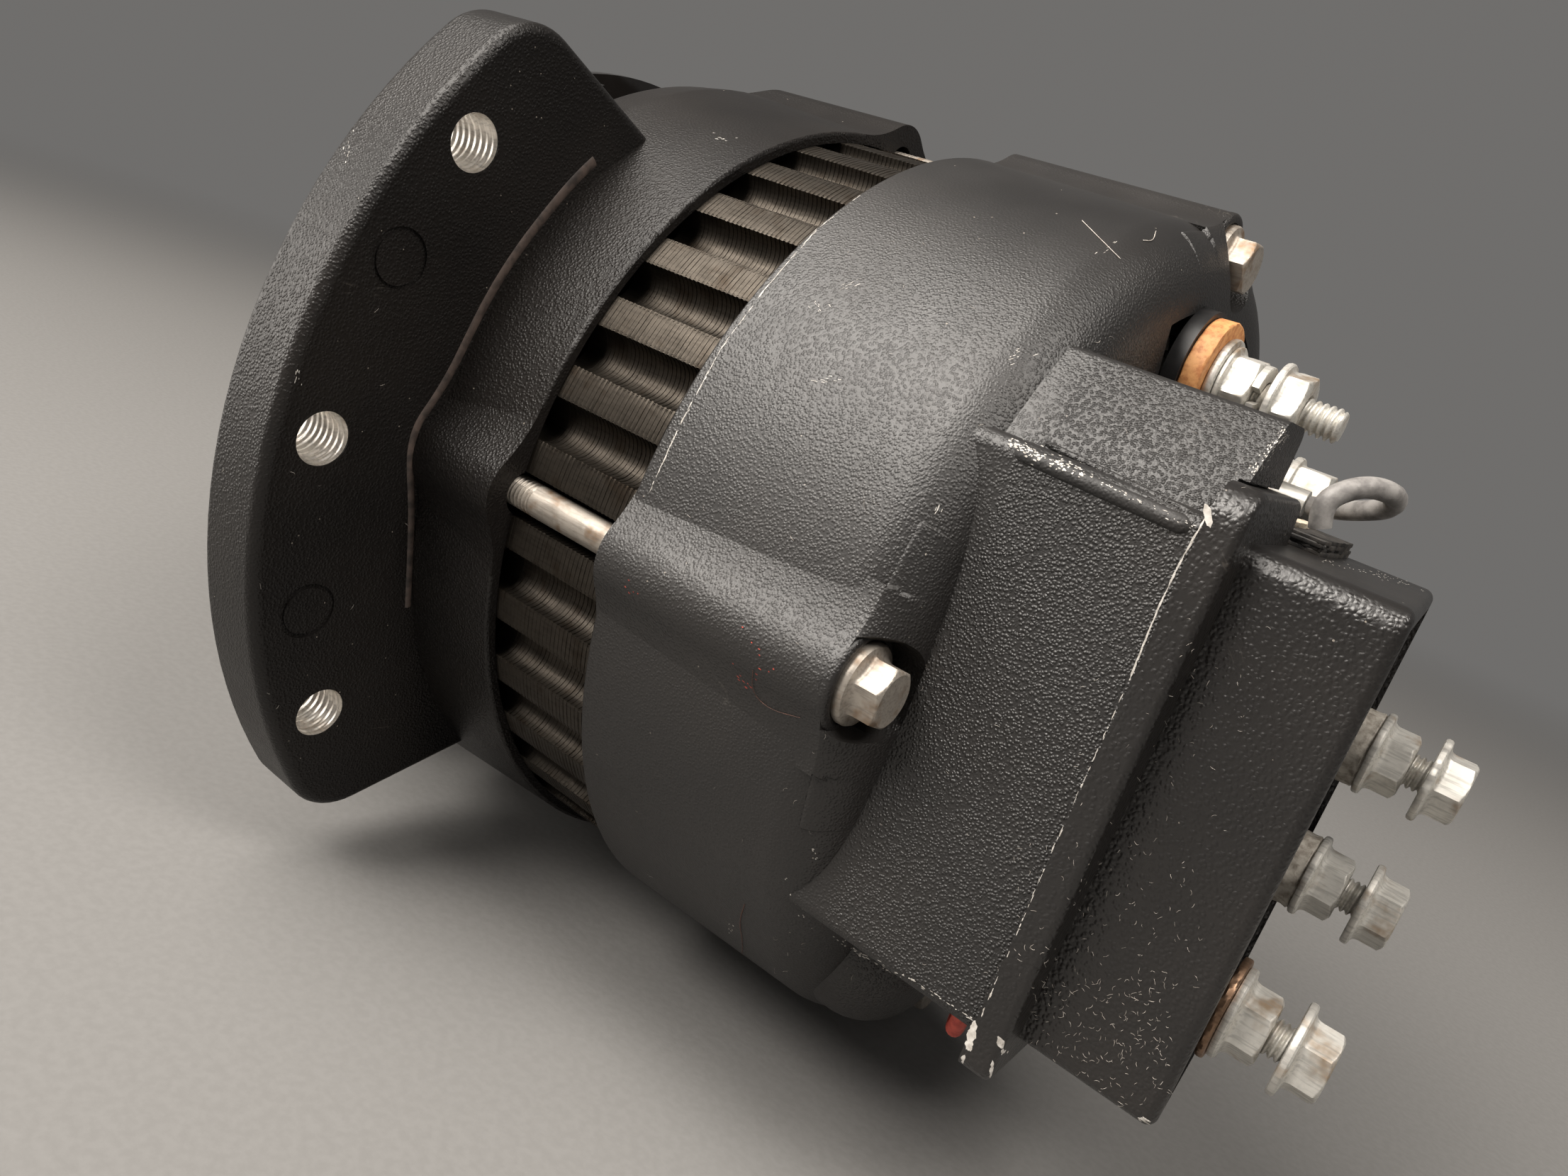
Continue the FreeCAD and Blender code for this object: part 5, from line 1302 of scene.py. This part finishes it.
RED_WEAR = [
    ([(1030, 905), (1100, 960)], 10, 12.0, (0.2, 0.6), (0.1, 0.25)),
    ([(1040, 952), (1062, 972)], 7, 3.0, (0.25, 0.8), (0.1, 0.2)),
    ([(870, 815), (905, 850)], 5, 5.0, (0.2, 0.5), (0.1, 0.2)),
]
chance = random.Random(7)
WEAR = (("pale_chips", PALE_WEAR, primer, "zinc"), ("red_specks", RED_WEAR, red_finish, "red_sleeve"))
for name, wear, finish, slot in WEAR:
    bm = bmesh.new()
    for worn in wear:
        chips_along(bm, *worn, chance)
    new_piece(name, bm, finish)

# %% [markdown]
# Lint is a tangle of short curled fibres, and a few longer hairs lie loose. A fibre walks over the
# surface in short steps and turns as it goes, and a thin tube follows its steps.


# %% Lint
FIBRE_END = 0.6
FIBRE_SIDES = 5
FIBRE_LIFT = 0.06
FIBRE_ARCH = 0.1
LONGEST_STEP = 1.5
STRIDE = 2.2
CURL = 0.6


def add_fibre(bm, places, radius):
    """A thin tube through a row of places, thinner at its two ends."""
    radii = [radius] * len(places)
    radii[0] = radii[-1] = radius * FIBRE_END
    tube(bm, places, radii, FIBRE_SIDES)


def walk(across, down, steps, chance):
    """Places on the surface along a curled walk that starts at a place in the picture."""
    heading = chance.uniform(0.0, 2.0 * math.pi)
    turn = chance.uniform(-CURL, CURL)
    places = []
    for step in range(steps):
        here = seen_at(across, down)
        if here is None or (places and (here[0] - places[-1]).length > LONGEST_STEP * MM):
            break
        lift = FIBRE_LIFT + FIBRE_ARCH * math.sin(math.pi * step / steps)
        places.append(here[0] + here[1] * lift * MM)
        heading += turn + chance.gauss(0.0, 0.25)
        across += STRIDE * math.cos(heading)
        down += STRIDE * math.sin(heading)
    return places


LINT_FIELDS = [
    (1455, 1380, 1650, 1560, 240), (1430, 1180, 1700, 1400, 110), (1480, 960, 1760, 1180, 26),
    (1600, 860, 1800, 1000, 12), (1080, 900, 1420, 1400, 22), (1150, 300, 1600, 620, 10),
    (900, 600, 1200, 1200, 10), (300, 300, 620, 1000, 10), (1500, 600, 1760, 700, 5),
]
chance = random.Random(23)
bm = bmesh.new()
for x0, y0, x1, y1, count in LINT_FIELDS:
    for _ in range(count):
        steps = chance.randint(3, 5)
        places = walk(chance.uniform(x0, x1), chance.uniform(y0, y1), steps, chance)
        if len(places) > 2:
            add_fibre(bm, places, chance.uniform(0.01, 0.024))
new_piece("lint", bm, lint_finish)


# %% Hairs
HAIR_LIFT = 0.12
PALE_HAIRS = [
    ([(1526, 312), (1552, 338), (1580, 366)], 0.05),
    ([(1612, 340), (1626, 341), (1630, 327)], 0.05),
]
BROWN_HAIRS = [
    ([(1051, 1275), (1043, 1300), (1049, 1330), (1046, 1356)], 0.045),
    ([(1063, 945), (1061, 975), (1085, 1000), (1130, 1012)], 0.03),
]


def hairs(name, finish, routes):
    """Hairs along routes through the picture, laid a little above the surface."""
    bm = bmesh.new()
    for route, radius in routes:
        add_fibre(bm, [place + normal * HAIR_LIFT * MM for place, normal in seen_along(route)], radius)
    new_piece(name, bm, finish)


hairs("pale_hairs", lint_finish, PALE_HAIRS)
hairs("brown_hairs", hair_finish, BROWN_HAIRS)

# %% [markdown]
# ## Floor and light
# The floor is wide and pale, and fades into the background with distance, so no line shows where it
# ends. A large soft lamp overhead makes the long highlights on the drum, as the room's lamps do in the
# photograph. A weaker one on the left lights the flange's edge, one near the camera picks out the
# grain of the coat, and one on the right lights the nuts.

# %% Floor
FLOOR_GAP = 0.0004
FLOOR_COLOUR = (0.2, 0.196, 0.19, 1.0)
FLOOR_GRAIN = (0.186, 0.182, 0.176, 1.0)
FLOOR_SIZE = 4.0
FADE_FROM = 0.4
FADE_TO = 1.15
floor_z = CAD_BOX[0][2] - FLOOR_GAP
floor_mesh = bpy.data.meshes.new("floor")
floor_bm = bmesh.new()
bmesh.ops.create_circle(floor_bm, cap_ends=True, segments=96, radius=FLOOR_SIZE)
floor_bm.to_mesh(floor_mesh)
floor_bm.free()
floor = bpy.data.objects.new("floor", floor_mesh)
floor.location = (0.0, 0.0, floor_z)
bpy.context.scene.collection.objects.link(floor)

floor_finish, graph, shader = new_material("floor_paper", Specular_IOR_Level=0.2)
place = graph.place()
grain = graph.noise(place, 700.0, 3.0)
paper = graph.mix(graph.ramp(grain, 0.3, 0.7), FLOOR_COLOUR, FLOOR_GRAIN)
dress(graph, shader, paper, 0.9, grain, 0.00004)
clear = graph.add("ShaderNodeBsdfTransparent").outputs[0]
away = graph.ramp(graph.vector("LENGTH", place), FADE_FROM, FADE_TO)
blend = graph.add("ShaderNodeMixShader", {0: away, 1: shader.outputs[0], 2: clear})
output = floor_finish.node_tree.nodes["Material Output"]
graph.fill(output.inputs["Surface"], blend.outputs[0])
floor_mesh.materials.append(floor_finish)

# %% Background
WORLD_COLOUR = (1.0, 0.97, 0.935, 1.0)
WORLD_STRENGTH = 0.16
world = bpy.data.worlds.new("world")
bpy.context.scene.world = world
world.use_nodes = True
light = world.node_tree.nodes["Background"]
light.inputs["Color"].default_value = WORLD_COLOUR
light.inputs["Strength"].default_value = WORLD_STRENGTH
print("background strength", WORLD_STRENGTH)


# %% Lamps
AIM = Vector((0.03, 0.0, 0.0))
LAMP_COLOUR = (1.0, 0.945, 0.88)


def soft_lamp(name, place, size, power):
    """A square area lamp that looks at the object."""
    data = bpy.data.lights.new(name, "AREA")
    data.shape = "SQUARE"
    data.size = size
    data.energy = power
    data.color = LAMP_COLOUR
    lamp = bpy.data.objects.new(name, data)
    lamp.location = place
    lamp.rotation_euler = (AIM - Vector(place)).to_track_quat("-Z", "Y").to_euler()
    bpy.context.scene.collection.objects.link(lamp)


def from_camera(right, up, toward):
    """A place so far right of the object, above it and toward the camera, as the camera sees it."""
    return AIM + right * CAMERA_RIGHT + up * CAMERA_UP + toward * CAMERA_BACK


soft_lamp("overhead", from_camera(-0.2, 0.71, 0.34), 0.6, 11.0)
soft_lamp("left", from_camera(-0.8, 0.36, 0.0), 0.4, 4.2)
soft_lamp("front", from_camera(-0.35, 0.58, 0.58), 0.3, 4.6)
soft_lamp("right", from_camera(0.5, 0.42, 0.6), 0.3, 5.6)
print("floor at", round(1000 * floor_z, 1), "mm")

# %% [markdown]
# ## Finish
# The view transform is set to Standard.

# %% Finish
bpy.context.scene.view_settings.view_transform = "Standard"
